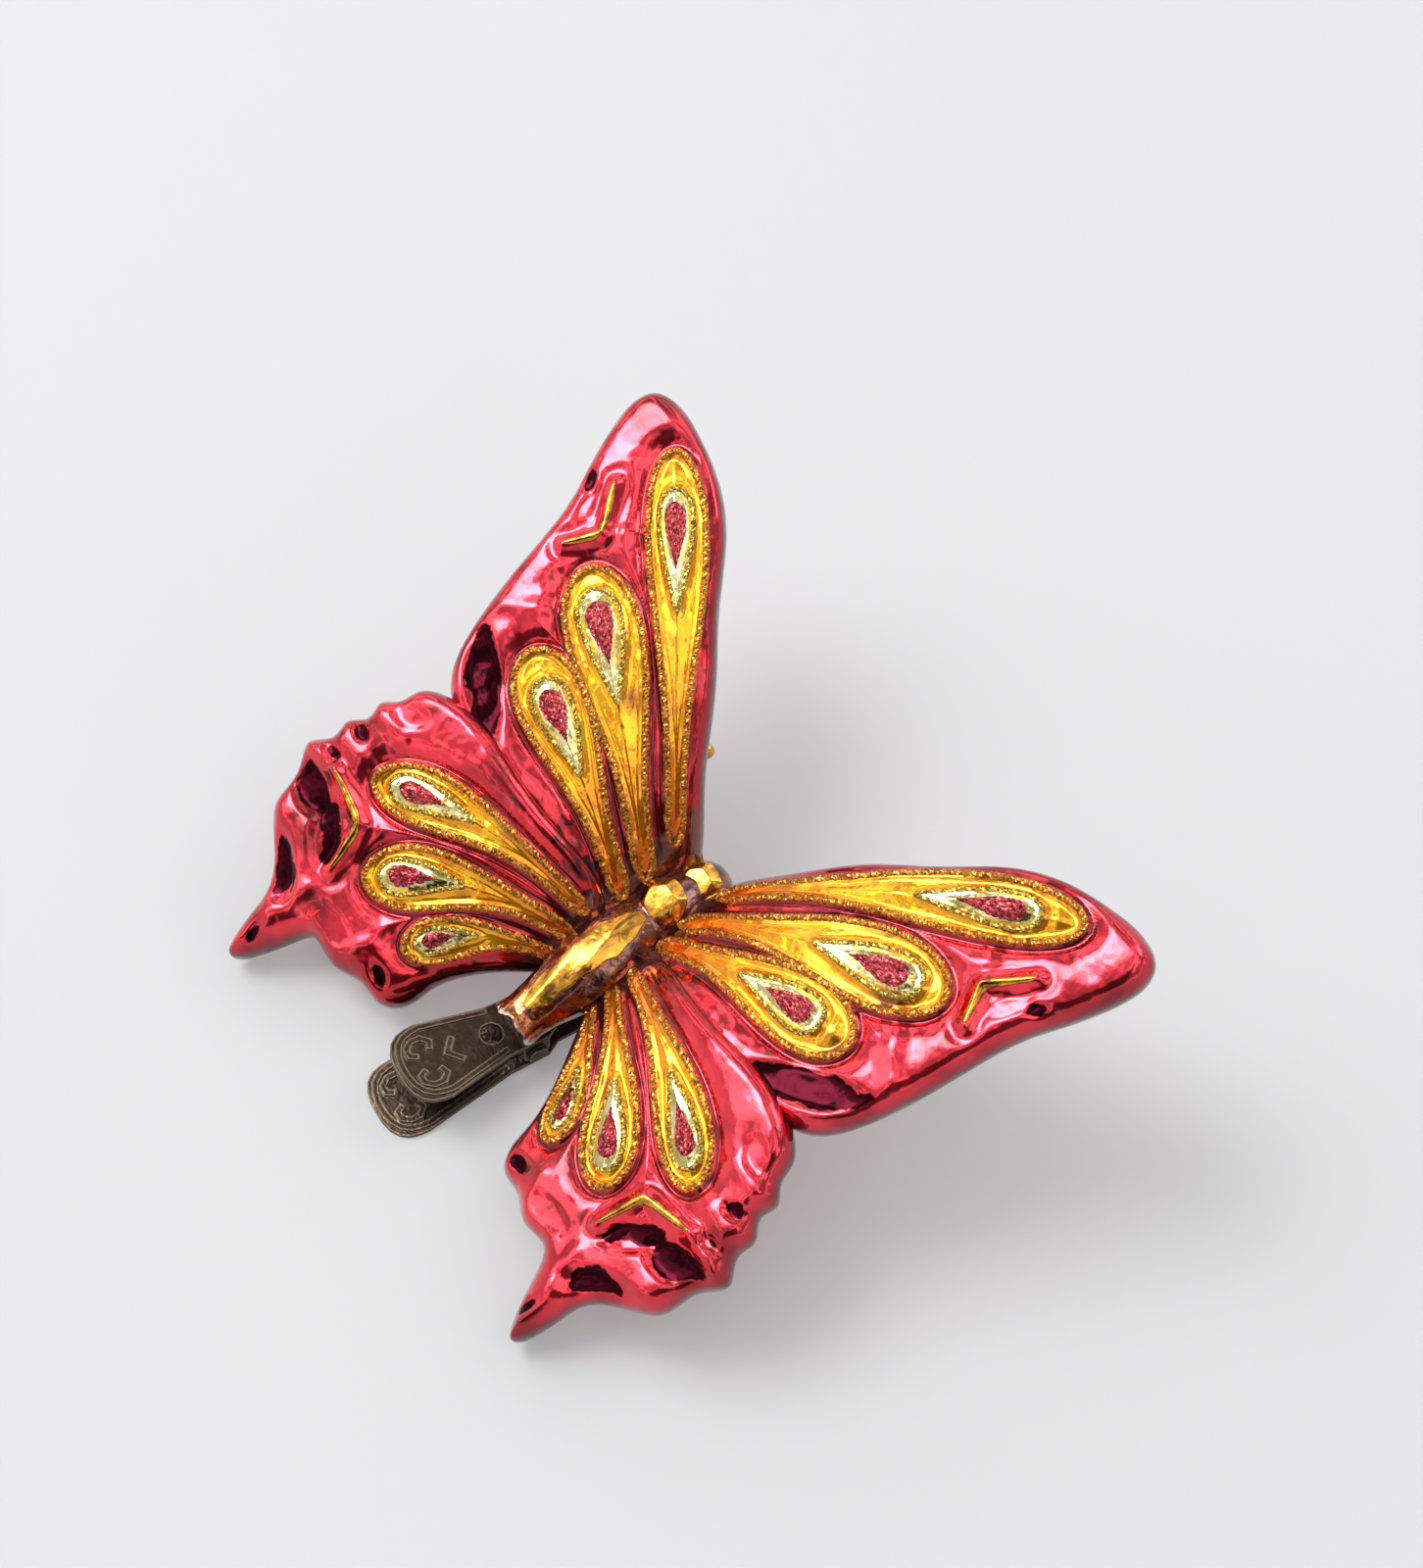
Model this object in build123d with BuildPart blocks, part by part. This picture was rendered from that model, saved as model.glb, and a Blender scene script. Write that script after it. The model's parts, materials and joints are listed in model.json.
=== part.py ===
from build123d import *
from math import cos, hypot, pi, radians, sin, sqrt, tan
import os

os.makedirs("parts", exist_ok=True)

# Driving sizes, in millimetres and degrees.
wing_span = 118.0
half_span = wing_span / 2

# Wings: thickness, edge rounding, and how steeply each pair climbs towards the head.
wing_thickness = 6.0
edge_round = 1.3
fore_climb = 3.4
hind_climb = 11.3
hind_hinge_share = -0.20

# Body of revolution, the two balls in front of it and the open lip behind it.
body_axis_drop = 4.6
body_tilt = 9.0
collar_radius = 3.4
head_radius = 3.1
head_forward = 5.6
head_drop = 3.4
lip_bore_radius = 3.0
lip_bore_depth = 7.0

# Pose on the floor: the body climbs over the clip, which lies flat and a little turned about its neck.
body_pitch = 20.0
collar_height = 22.05
collar_ahead = 24.3
clip_turn = 5.5

# Coats and glitter lines laid on the glass.
coat_thickness = 0.35
glitter_height = 0.7
outer_line_width = 1.4
chevron_width = 1.4
paint_sink = 0.4

# Antennae.
antenna_radius = 0.65
bead_radius = 1.25

# Clip: two stamped levers, pivot pin, spring, cup and rivet.
plate_thickness = 0.8
plate_half_gap = 2.6
handle_length = 21.0
lower_handle_extra = 4.0
handle_width = 13.0
waist_width = 8.8
jaw_length = 27.0
jaw_width = 6.4
tooth_length = 1.2
tooth_gap = 0.05
handle_bend = 8.0
emboss_height = 0.4
emboss_width = 0.9
emboss_sink = 0.2
hole_radius = 1.75
hole_back = 5.4
pin_radius = 0.9
pin_clearance = 0.05
pin_head_radius = 1.6
pin_head_thickness = 0.7
ear_thickness = 0.7
ear_radius = 2.2
ear_outer_half = 4.4
ear_gap = 0.1
spring_wire_radius = 0.3
spring_coil_radius = 1.75
spring_turns = 2
spring_gap = 0.6
spring_leg = 7.0
neck_radius = 2.6
neck_wall = 0.7
neck_length = 6.0
neck_bore_depth = 4.0
neck_forward = 21.5
cup_wall = 0.5
cup_height = 2.0
cup_base = 0.6
rivet_radius = 0.9
rivet_head_radius = 1.5
rivet_head_thickness = 0.45

# Outlines as shares of the half span, right wings seen from above: outwards, forwards.
fore_outline_shares = [
    (0.050, 0.125), (0.170, 0.270), (0.305, 0.432), (0.458, 0.578), (0.576, 0.698), (0.695, 0.773),
    (0.830, 0.814), (0.930, 0.824), (0.992, 0.800), (1.012, 0.745), (1.000, 0.668), (0.962, 0.560),
    (0.924, 0.470), (0.895, 0.356), (0.876, 0.246), (0.850, 0.125), (0.815, 0.015), (0.775, -0.055),
    (0.716, -0.100), (0.600, -0.118), (0.440, -0.140), (0.240, -0.165), (0.060, -0.150), (0.015, -0.010),
]
hind_outline_shares = [
    (0.085, -0.125), (0.320, -0.085), (0.560, -0.068), (0.725, -0.098), (0.788, -0.152), (0.800, -0.198),
    (0.850, -0.238), (0.820, -0.284), (0.872, -0.330), (0.852, -0.384), (0.908, -0.448), (0.856, -0.520),
    (0.852, -0.625), (0.752, -0.700), (0.690, -0.762), (0.676, -0.850), (0.632, -0.962), (0.588, -0.900),
    (0.550, -0.808), (0.522, -0.752), (0.428, -0.764), (0.352, -0.730), (0.280, -0.732), (0.240, -0.680),
    (0.232, -0.612), (0.205, -0.535), (0.150, -0.440), (0.085, -0.350), (0.040, -0.240),
]

# Arch of the wings' upper face as shares of the half span: outwards, up.
arch_shares = [
    (-0.05, -0.105), (0.068, -0.020), (0.136, 0.044), (0.237, 0.108), (0.373, 0.159), (0.542, 0.193),
    (0.746, 0.214), (1.100, 0.217),
]

# Teardrops as shares of the half span: root, outer end, half width, and bow towards the head.
fore_drop_shares = [
    ((0.125, 0.105), (0.829, 0.741), 0.086, 0.030),
    ((0.115, -0.020), (0.742, 0.381), 0.106, 0.034),
    ((0.135, -0.082), (0.675, 0.132), 0.098, 0.026),
]
hind_drop_shares = [
    ((0.170, -0.180), (0.688, -0.381), 0.078, 0.044),
    ((0.135, -0.245), (0.520, -0.560), 0.084, 0.042),
    ((0.118, -0.310), (0.318, -0.600), 0.058, 0.040),
]
drop_full_share = 0.78
drop_root_power = 1.2
line_root_share = 0.10
eye_span_shares = (0.55, 0.905)
eye_width_share = 0.46
pale_span_shares = (0.62, 0.875)
pale_width_share = 0.32
red_span_shares = (0.665, 0.835)
red_width_share = 0.21

# Chevrons as shares of the half span: first arm's end, corner, second arm's end.
fore_chevron_shares = [(0.849, 0.573), (0.766, 0.464), (0.817, 0.371)]
hind_chevron_shares = [(0.766, -0.437), (0.615, -0.473), (0.583, -0.608)]

# Body profile as shares of the half span: along the body, radius.
body_profile_shares = [
    (-0.492, 0.067), (-0.450, 0.062), (-0.395, 0.065), (-0.330, 0.074), (-0.240, 0.086), (-0.150, 0.084),
    (-0.040, 0.060),
]
body_gold_shares = (-0.40, -0.05)
body_gold_width_share = 0.115

# Antenna path as shares of the half span: outwards, forwards, up.
antenna_shares = [(0.020, 0.110, -0.115), (0.140, 0.175, -0.065), (0.268, 0.308, -0.052)]

# Lever outline as shares of the handle's width, from the handle's end: along, half width.
handle_end_shares = [
    (0.0, 0.0), (0.005, 0.15), (0.035, 0.28), (0.10, 0.39), (0.20, 0.46), (0.32, 0.49), (0.44, 0.50),
]

# Scroll and chevron on a handle as shares of the handle's width: across, along from the handle's end.
scroll_shares = [
    (0.09, 0.30), (0.14, 0.21), (0.23, 0.21), (0.30, 0.30), (0.30, 0.42), (0.22, 0.50), (0.13, 0.46),
]
fleur_shares = [(-0.16, 0.76), (0.0, 0.62), (0.16, 0.76)]

plate_top = plate_half_gap + plate_thickness
tall = wing_span
body_place = Location((0, collar_ahead, collar_height - plate_top), (body_pitch, 0, 0))
axis_place = Location((0, 0, -body_axis_drop), (-body_tilt, 0, 0))
clip_place = Location((0, neck_forward, 0), (0, 0, -clip_turn)) * Location((0, -neck_forward, 0))


def scaled(shares):
    """Points in millimetres from shares of the half span."""
    return [(x * half_span, y * half_span) for x, y in shares]


def arch_plane(climb, hinge):
    """Plane across the body whose normal runs back along wings that climb towards the head."""
    rise = Location((0, hinge, 0), (climb, 0, 0))
    return Plane(origin=rise.position, x_dir=(1, 0, 0), z_dir=Plane(rise).y_dir * -1)


fore_arch = arch_plane(fore_climb, 0)
hind_arch = arch_plane(hind_climb, hind_hinge_share * half_span)


def arched_slab(plane, low, high):
    """Band under or over the wings' arch, from low to high above it, running along the body."""
    arch = scaled(arch_shares)
    under = [(x, z + low) for x, z in arch]
    over = [(x, z + high) for x, z in arch]
    with BuildPart() as slab:
        with BuildSketch(plane):
            with BuildLine():
                Spline(*under)
                Line(under[-1], over[-1])
                Spline(*over[::-1])
                Line(over[0], under[0])
            make_face()
        extrude(amount=wing_span, both=True)
    return slab.part


def upright(outlines, holes):
    """Upright prisms over closed straight-sided outlines, with closed holes."""
    with BuildPart() as prism:
        with BuildSketch(Plane.XY.offset(-half_span)):
            for outline in outlines:
                with BuildLine():
                    Polyline(*outline, close=True)
                make_face()
            for hole in holes:
                with BuildLine():
                    Polyline(*hole, close=True)
                make_face(mode=Mode.SUBTRACT)
        extrude(amount=tall)
    return prism.part


def wing_shape(plane, shares, rounding):
    """Right wing: the arched band inside an upright outline, its edges rounded where asked."""
    with BuildPart() as wing:
        with BuildSketch(Plane.XY.offset(-half_span)):
            with BuildLine():
                Spline(*scaled(shares), periodic=True)
            make_face()
        extrude(amount=tall)
        add(arched_slab(plane, -wing_thickness, 0), mode=Mode.INTERSECT)
        if rounding:
            fillet(wing.edges().filter_by(lambda e: e.length > half_span), rounding)
    return wing.part


def spine(drop, share):
    """Point and direction on a teardrop's bowed centre line, root at 0 and outer end at 1."""
    (rx, ry), (ex, ey), _, bow = drop
    length = hypot(ex - rx, ey - ry)
    mx = (rx + ex) / 2 - 2 * bow * (ey - ry) / length
    my = (ry + ey) / 2 + 2 * bow * (ex - rx) / length
    keep = 1 - share
    x = keep * keep * rx + 2 * keep * share * mx + share * share * ex
    y = keep * keep * ry + 2 * keep * share * my + share * share * ey
    dx = keep * (mx - rx) + share * (ex - mx)
    dy = keep * (my - ry) + share * (ey - my)
    run = hypot(dx, dy)
    return x * half_span, y * half_span, dx / run, dy / run


def teardrop(drop, start, stop, half_width, steps):
    """Closed teardrop between two shares of the spine: pointed root, round outer end."""
    one, other = [], []
    for i in range(1, steps):
        part = 0.5 - 0.5 * cos(pi * i / steps)
        if part < drop_full_share:
            wide = half_width * sin(pi / 2 * part / drop_full_share) ** drop_root_power
        else:
            wide = half_width * sqrt(1 - ((part - drop_full_share) / (1 - drop_full_share)) ** 2)
        x, y, dx, dy = spine(drop, start + part * (stop - start))
        one.append((x - dy * wide, y + dx * wide))
        other.append((x + dy * wide, y - dx * wide))
    return [spine(drop, start)[:2]] + one + [spine(drop, stop)[:2]] + other[::-1]


def drop_width(drop):
    """Half width of a teardrop in millimetres."""
    return drop[2] * half_span


def line_outside(drop):
    """Outer edge of a teardrop's glitter line."""
    return teardrop(drop, 0, 1, drop_width(drop), 12)


def line_inside(drop):
    """Inner edge of a teardrop's glitter line, which is the edge of its gold field."""
    (rx, ry), (ex, ey), _, _ = drop
    stop = 1 - outer_line_width / (hypot(ex - rx, ey - ry) * half_span)
    return teardrop(drop, line_root_share, stop, drop_width(drop) - outer_line_width, 12)


def eye_outside(drop):
    """Outer edge of the small glitter line inside a gold field."""
    return teardrop(drop, *eye_span_shares, drop_width(drop) * eye_width_share, 8)


def eye_inside(drop):
    """Inner edge of the small glitter line, which is the edge of its pale field."""
    return teardrop(drop, *pale_span_shares, drop_width(drop) * pale_width_share, 8)


def eye_red(drop):
    """Edge of the red glitter drop in a pale field."""
    return teardrop(drop, *red_span_shares, drop_width(drop) * red_width_share, 6)


fore_coat = arched_slab(fore_arch, 0, coat_thickness)
hind_coat = arched_slab(hind_arch, 0, coat_thickness)
fore_ridge = arched_slab(fore_arch, 0, glitter_height)
hind_ridge = arched_slab(hind_arch, 0, glitter_height)


def laid(layer, outlines, holes):
    """Pieces of a layer that lie on a wing inside the outlines and outside the holes."""
    with BuildPart() as piece:
        add(upright(outlines, holes))
        add(layer, mode=Mode.INTERSECT)
    return piece.part


def each(function, drops):
    """The outlines that a function draws for each teardrop."""
    return [function(drop) for drop in drops]


def chevron(layer, shares):
    """Painted angle of two straight arms."""
    with BuildPart() as piece:
        with BuildSketch(Plane.XY.offset(-half_span)):
            with BuildLine() as path:
                Polyline(*scaled(shares))
            trace(path.line, line_width=chevron_width)
        extrude(amount=tall)
        add(layer, mode=Mode.INTERSECT)
    return piece.part


def on_left(shape):
    """Left-hand copy of a right-hand piece."""
    return mirror(shape, about=Plane.YZ, mode=Mode.PRIVATE)


def round_body(extra):
    """Body of revolution along the tilted body axis, its radius enlarged by extra."""
    points = [(y * half_span, r * half_span + extra) for y, r in body_profile_shares]
    with BuildPart() as body:
        with BuildSketch(Plane.XY):
            with BuildLine():
                Spline(*[(r, y) for y, r in points])
                Polyline((points[-1][1], points[-1][0]), (0, points[-1][0]), (0, points[0][0]),
                         (points[0][1], points[0][0]))
            make_face()
        revolve(axis=Axis.Y)
    return body.part.moved(axis_place)


def ball(centre, radius):
    """Sphere at a point."""
    with BuildPart() as piece:
        with Locations(centre):
            Sphere(radius)
    return piece.part


head_centre = (0, head_forward, -head_drop - head_radius)
collar_centre = (0, 0, -collar_radius)


def upright_tube(radius, bottom, top):
    """Upright cylinder over the clip's jaw, between two heights above the pivot."""
    with BuildPart() as tube:
        with Locations((0, neck_forward, bottom)):
            Cylinder(radius, top - bottom, align=(Align.CENTER, Align.CENTER, Align.MIN))
    return tube.part


def in_body(shape):
    """A shape drawn about the collar's top, moved to its place over the clip."""
    return shape.moved(body_place)


def lip_bore():
    """Blind bore of the open lip at the body's back end."""
    with BuildPart() as bore:
        with Locations(Location((0, body_profile_shares[0][0] * half_span, 0), (90, 0, 0))):
            Cylinder(lip_bore_radius, lip_bore_depth * 2)
    return bore.part.moved(axis_place)


def glass_shape():
    """Blown body in one piece: four wings, body, collar, head, back lip and neck."""
    neck_bottom = plate_top + cup_base
    fore = wing_shape(fore_arch, fore_outline_shares, edge_round)
    hind = wing_shape(hind_arch, hind_outline_shares, 0)
    with BuildPart() as glass:
        add(in_body(round_body(0)))
        for wing in (fore, hind, on_left(fore), on_left(hind)):
            add(in_body(wing))
        add(in_body(ball(collar_centre, collar_radius)))
        add(in_body(ball(head_centre, head_radius)))
        add(upright_tube(neck_radius, neck_bottom, neck_bottom + neck_length))
        bore = upright_tube(neck_radius - neck_wall, neck_bottom, neck_bottom + neck_bore_depth)
        add(bore, mode=Mode.SUBTRACT)
        add(in_body(lip_bore()), mode=Mode.SUBTRACT)
    return glass.part


def lever_outline(handle):
    """Closed outline of a stamped lever: across, along."""
    half = [(y * handle_width - handle, w * handle_width) for y, w in handle_end_shares]
    half += [(-ear_radius * 2, waist_width / 2), (-ear_radius, ear_outer_half), (ear_radius, ear_outer_half)]
    half += [(ear_radius * 2, jaw_width / 2), (jaw_length, jaw_width / 2)]
    return [(w, y) for y, w in half] + [(-w, y) for y, w in half[:0:-1]]


def rim_line(handle, sink):
    """Line inside the edge of a handle, from waist round the end to waist."""
    half = [(y * handle_width - handle, w * handle_width) for y, w in handle_end_shares]
    inside = [(y + sink * (1 - y / handle_width - handle / handle_width), max(w - sink, 0)) for y, w in half]
    inside += [(-ear_radius * 2, waist_width / 2 - sink)]
    return [(w, y) for y, w in inside[::-1]] + [(-w, y) for y, w in inside[1:]]


def lever_plate(handle, ridge_bottom):
    """Flat stamped plate of a lever with its hole and raised rim, scrolls and chevron."""
    with BuildPart() as plate:
        with BuildSketch(Plane.XY.offset(plate_half_gap)):
            with BuildLine():
                Polyline(*lever_outline(handle), close=True)
            make_face()
        extrude(amount=plate_thickness)
        with BuildSketch(Plane.XY.offset(ridge_bottom)):
            with BuildLine() as rim:
                Polyline(*rim_line(handle, emboss_width))
            trace(rim.line, line_width=emboss_width)
            for side in (-1, 1):
                with BuildLine() as scroll:
                    Polyline(*[(side * x * handle_width, y * handle_width - handle)
                               for x, y in scroll_shares])
                trace(scroll.line, line_width=emboss_width)
            with BuildLine() as fleur:
                Polyline(*[(x * handle_width, y * handle_width - handle) for x, y in fleur_shares])
            trace(fleur.line, line_width=emboss_width)
        extrude(amount=emboss_sink + emboss_height)
        with Locations((0, -hole_back, plate_half_gap)):
            Cylinder(hole_radius, plate_thickness * 4, mode=Mode.SUBTRACT)
    return plate.part


def ears(outer_half):
    """Two side ears that reach from a plate down past the pivot pin."""
    with BuildPart() as pair:
        for side in (-1, 1):
            with BuildSketch(Plane.YZ.offset(side * (outer_half - ear_thickness / 2))):
                Circle(ear_radius)
                Rectangle(ear_radius * 2, plate_half_gap + emboss_sink, align=(Align.CENTER, Align.MIN))
            extrude(amount=ear_thickness / 2, both=True)
    return pair.part


def pin_hole():
    """Bore for the pivot pin with its running clearance."""
    with BuildPart() as bore:
        with Locations(Location((0, 0, 0), (0, 90, 0))):
            Cylinder(pin_radius + pin_clearance, handle_width * 2)
    return bore.part


def tooth():
    """Jaw tip turned over towards the other lever."""
    with BuildPart() as tip:
        with Locations((0, jaw_length - tooth_length / 2, tooth_gap / 2)):
            Box(jaw_width, tooth_length, plate_half_gap, align=(Align.CENTER, Align.CENTER, Align.MIN))
    return tip.part


def half_box(forward):
    """Large block before or behind the bend line of a handle."""
    with BuildPart() as block:
        with Locations((0, -ear_radius, 0)):
            Box(tall, tall, tall, align=(Align.CENTER, Align.MIN if forward else Align.MAX, Align.CENTER))
    return block.part


def upper_lever_shape():
    """Upper lever: ears outside, tooth, rivet hole, and the handle bent away from the other one."""
    blank = lever_plate(handle_length, plate_top - emboss_sink)
    with BuildPart() as lever:
        add(blank & half_box(True))
        bend_line = Axis((0, -ear_radius, plate_half_gap), (1, 0, 0))
        add((blank & half_box(False)).rotate(bend_line, -handle_bend))
        add(ears(ear_outer_half))
        add(tooth())
        add(pin_hole(), mode=Mode.SUBTRACT)
        add(upright_tube(rivet_radius + pin_clearance, 0, plate_top * 2), mode=Mode.SUBTRACT)
    return lever.part


def lower_lever_shape():
    """Lower lever: a longer flat plate turned over, ears inside the other pair, and its tooth."""
    with BuildPart() as lever:
        add(lever_plate(handle_length + lower_handle_extra, plate_half_gap - emboss_height))
        add(ears(ear_outer_half - ear_thickness - ear_gap))
        add(tooth())
        add(pin_hole(), mode=Mode.SUBTRACT)
    return mirror(lever.part, about=Plane.XY, mode=Mode.PRIVATE)


def coil_point(turn):
    """Point and direction on the spring's coil, turn in radians from its top, going forwards and down."""
    rise = (2 * spring_wire_radius + spring_gap) / (2 * pi)
    middle = pi * (spring_turns + 0.5)
    place = Vector(rise * (turn - middle), spring_coil_radius * sin(turn), spring_coil_radius * cos(turn))
    return place, Vector(rise, spring_coil_radius * cos(turn), -spring_coil_radius * sin(turn)).normalized()


def spring_path():
    """Straight leg, coil of biarcs over quarter turns, straight leg."""
    first = upper_leg_turn
    last = 2 * pi * spring_turns + pi - lower_leg_turn
    steps = 4 * spring_turns + 2
    stations = [coil_point(first + (last - first) * i / steps) for i in range(steps + 1)]
    start, along = stations[0]
    edges = [Edge.make_line(start - along * spring_leg, start)]
    for (a, ta), (b, tb) in zip(stations, stations[1:]):
        gap, both, curl = b - a, ta + tb, 2 * (1 - ta.dot(tb))
        reach = (sqrt(gap.dot(both) ** 2 + curl * gap.dot(gap)) - gap.dot(both)) / curl
        join = (a + b + (ta - tb) * reach) / 2
        turn = ((b - tb * reach) - (a + ta * reach)).normalized()
        edges += [Edge.make_tangent_arc(a, ta, join), Edge.make_tangent_arc(join, turn, b)]
    end, along = stations[-1]
    edges.append(Edge.make_line(end, end + along * spring_leg))
    return Wire(edges), stations


def leg_turn(plate_height):
    """Turn at which a leg leaves the coil so that its end lies against a plate."""
    turn = 0.0
    for _ in range(60):
        turn = (plate_height - spring_wire_radius - spring_coil_radius * cos(turn)) / spring_leg
    return turn


upper_leg_turn = leg_turn(plate_half_gap + (spring_leg - ear_radius) * tan(radians(handle_bend)))
lower_leg_turn = leg_turn(plate_half_gap)


def capped(shape, block, hollow):
    """Part of a shape inside a block and outside a hollow."""
    with BuildPart() as piece:
        add(shape)
        add(block, mode=Mode.INTERSECT)
        add(hollow, mode=Mode.SUBTRACT)
    return piece.part


def block_over(width, back, front, bottom):
    """Block along the body that reaches up from a height."""
    with BuildPart() as block:
        with Locations((0, (back + front) / 2, bottom)):
            Box(width, front - back, half_span, align=(Align.CENTER, Align.CENTER, Align.MIN))
    return block.part


glass = glass_shape()
upper = upper_lever_shape().moved(clip_place)
lower = lower_lever_shape().moved(clip_place)
whole = [shape.bounding_box() for shape in (glass, upper, lower)]
back = min(box.min.Y for box in whole)
front = max(box.max.Y for box in whole)
floor = min(box.min.Z for box in whole)
print("lowest glass", whole[0].min.Z - floor, "lowest lever", whole[2].min.Z - floor, "length", front - back)
rest_place = Location((0, -(back + front) / 2, -floor))
print("pivot", (rest_place * clip_place).position)


def resting(shape):
    """A shape drawn about the clip's pivot, moved to stand on the floor about the origin."""
    return shape.moved(rest_place)


def resting_body(shape):
    """A shape drawn about the collar's top, moved to stand on the floor about the origin."""
    return resting(in_body(shape))


with BuildPart() as glass_body:
    add(resting(glass))
glass_body.part.label = "glass_body"
export_step(glass_body.part, "parts/glass_body.step")

# Painted fields and glitter lines of the four wings.
wing_sets = [
    ("fore", fore_coat, fore_ridge, fore_drop_shares, fore_chevron_shares),
    ("hind", hind_coat, hind_ridge, hind_drop_shares, hind_chevron_shares),
]
for pair, coat, ridge, drops, angle in wing_sets:
    pieces = {
        "gold_drops": laid(coat, each(line_inside, drops), each(eye_outside, drops)),
        "outer_glitter": laid(ridge, each(line_outside, drops), each(line_inside, drops)),
        "inner_glitter": laid(ridge, each(eye_outside, drops), each(eye_inside, drops)),
        "pale_drops": laid(coat, each(eye_inside, drops), each(eye_red, drops)),
        "red_glitter": laid(ridge, each(eye_red, drops), []),
        "chevron": chevron(coat, angle),
    }
    for kind, shape in pieces.items():
        with BuildPart() as right_layer:
            add(resting_body(shape))
        right_layer.part.label = f"{kind}_{pair}_right"
        export_step(right_layer.part, f"parts/{kind}_{pair}_right.step")
        with BuildPart() as left_layer:
            add(on_left(right_layer.part))
        left_layer.part.label = f"{kind}_{pair}_left"
        export_step(left_layer.part, f"parts/{kind}_{pair}_left.step")

# Gold paint on the body, collar and head.
gold_back, gold_front = (share * half_span for share in body_gold_shares)
with BuildPart() as body_gold:
    strip = block_over(body_gold_width_share * half_span, gold_back, gold_front, 0).moved(axis_place)
    add(resting(capped(in_body(round_body(coat_thickness)), in_body(strip), glass)))
body_gold.part.label = "body_gold"
export_step(body_gold.part, "parts/body_gold.step")

with BuildPart() as collar_gold:
    cap = block_over(wing_span, -collar_radius, head_forward / 2, -collar_radius + paint_sink)
    add(resting(capped(in_body(ball(collar_centre, collar_radius + coat_thickness)), in_body(cap), glass)))
    add(body_gold.part, mode=Mode.SUBTRACT)
collar_gold.part.label = "collar_gold"
export_step(collar_gold.part, "parts/collar_gold.step")

with BuildPart() as head_gold:
    cap = block_over(wing_span, head_forward / 2, half_span, -head_drop - head_radius)
    add(resting(capped(in_body(ball(head_centre, head_radius + coat_thickness)), in_body(cap), glass)))
    add(collar_gold.part, mode=Mode.SUBTRACT)
head_gold.part.label = "head_gold"
export_step(head_gold.part, "parts/head_gold.step")

# Antennae.
antenna_points = [tuple(share * half_span for share in point) for point in antenna_shares]
with BuildPart() as antenna_right:
    with BuildLine(mode=Mode.PRIVATE) as whip:
        Spline(*antenna_points)
    with BuildSketch(Plane(origin=whip.line @ 0, z_dir=whip.line % 0), mode=Mode.PRIVATE) as round_wire:
        Circle(antenna_radius)
    rod = sweep(round_wire.sketch, path=whip.line, mode=Mode.PRIVATE)
    add(resting_body(rod))
    add(resting_body(ball(antenna_points[-1], bead_radius)))
    add(glass_body.part, mode=Mode.SUBTRACT)
    add(head_gold.part, mode=Mode.SUBTRACT)
antenna_right.part.label = "antenna_right"
export_step(antenna_right.part, "parts/antenna_right.step")

with BuildPart() as antenna_left:
    add(on_left(antenna_right.part))
antenna_left.part.label = "antenna_left"
export_step(antenna_left.part, "parts/antenna_left.step")

# Clip.
with BuildPart() as upper_lever:
    add(resting(upper))
upper_lever.part.label = "upper_lever"
export_step(upper_lever.part, "parts/upper_lever.step")

with BuildPart() as lower_lever:
    add(resting(lower))
lower_lever.part.label = "lower_lever"
export_step(lower_lever.part, "parts/lower_lever.step")

with BuildPart() as pivot_pin:
    with Locations(rest_place * clip_place * Location((0, 0, 0), (0, 90, 0))):
        Cylinder(pin_radius, ear_outer_half * 2 + pin_head_thickness)
    for side in (-1, 1):
        middle = side * (ear_outer_half + pin_head_thickness / 2)
        with Locations(rest_place * clip_place * Location((middle, 0, 0), (0, 90, 0))):
            Cylinder(pin_head_radius, pin_head_thickness)
pivot_pin.part.label = "pivot_pin"
export_step(pivot_pin.part, "parts/pivot_pin.step")

coil_wire, coil_stations = spring_path()
with BuildPart() as torsion_spring:
    with BuildSketch(Plane(origin=coil_wire @ 0, z_dir=coil_wire % 0), mode=Mode.PRIVATE) as spring_wire:
        Circle(spring_wire_radius)
    wound = sweep(spring_wire.sketch, path=coil_wire, mode=Mode.PRIVATE)
    add(resting(wound.moved(clip_place)))
torsion_spring.part.label = "torsion_spring"
export_step(torsion_spring.part, "parts/torsion_spring.step")

neck_bottom = plate_top + cup_base
with BuildPart() as neck_cup:
    add(resting(upright_tube(neck_radius + cup_wall, plate_top, neck_bottom + cup_height)))
    add(resting(upright_tube(neck_radius, neck_bottom, neck_bottom + cup_height)), mode=Mode.SUBTRACT)
    add(resting(upright_tube(rivet_radius + pin_clearance, plate_half_gap, neck_bottom)), mode=Mode.SUBTRACT)
neck_cup.part.label = "neck_cup"
export_step(neck_cup.part, "parts/neck_cup.step")

with BuildPart() as rivet:
    add(resting(upright_tube(rivet_radius, plate_half_gap, neck_bottom)))
    add(resting(upright_tube(rivet_head_radius, plate_half_gap - rivet_head_thickness, plate_half_gap)))
    add(resting(upright_tube(rivet_head_radius, neck_bottom, neck_bottom + rivet_head_thickness)))
rivet.part.label = "rivet"
export_step(rivet.part, "parts/rivet.step")

# Least gap between the spring's turns, on points along the coil.
samples = [coil_point(upper_leg_turn + pi / 60 * i)[0] for i in range(int(60 * (2 * spring_turns + 1)))]
least = min((a - b).length for i, a in enumerate(samples) for b in samples[i + 30:]) - 2 * spring_wire_radius
print("spring's least gap to itself", least)
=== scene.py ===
import json

import bpy
import numpy as np
from mathutils import Matrix


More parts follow.
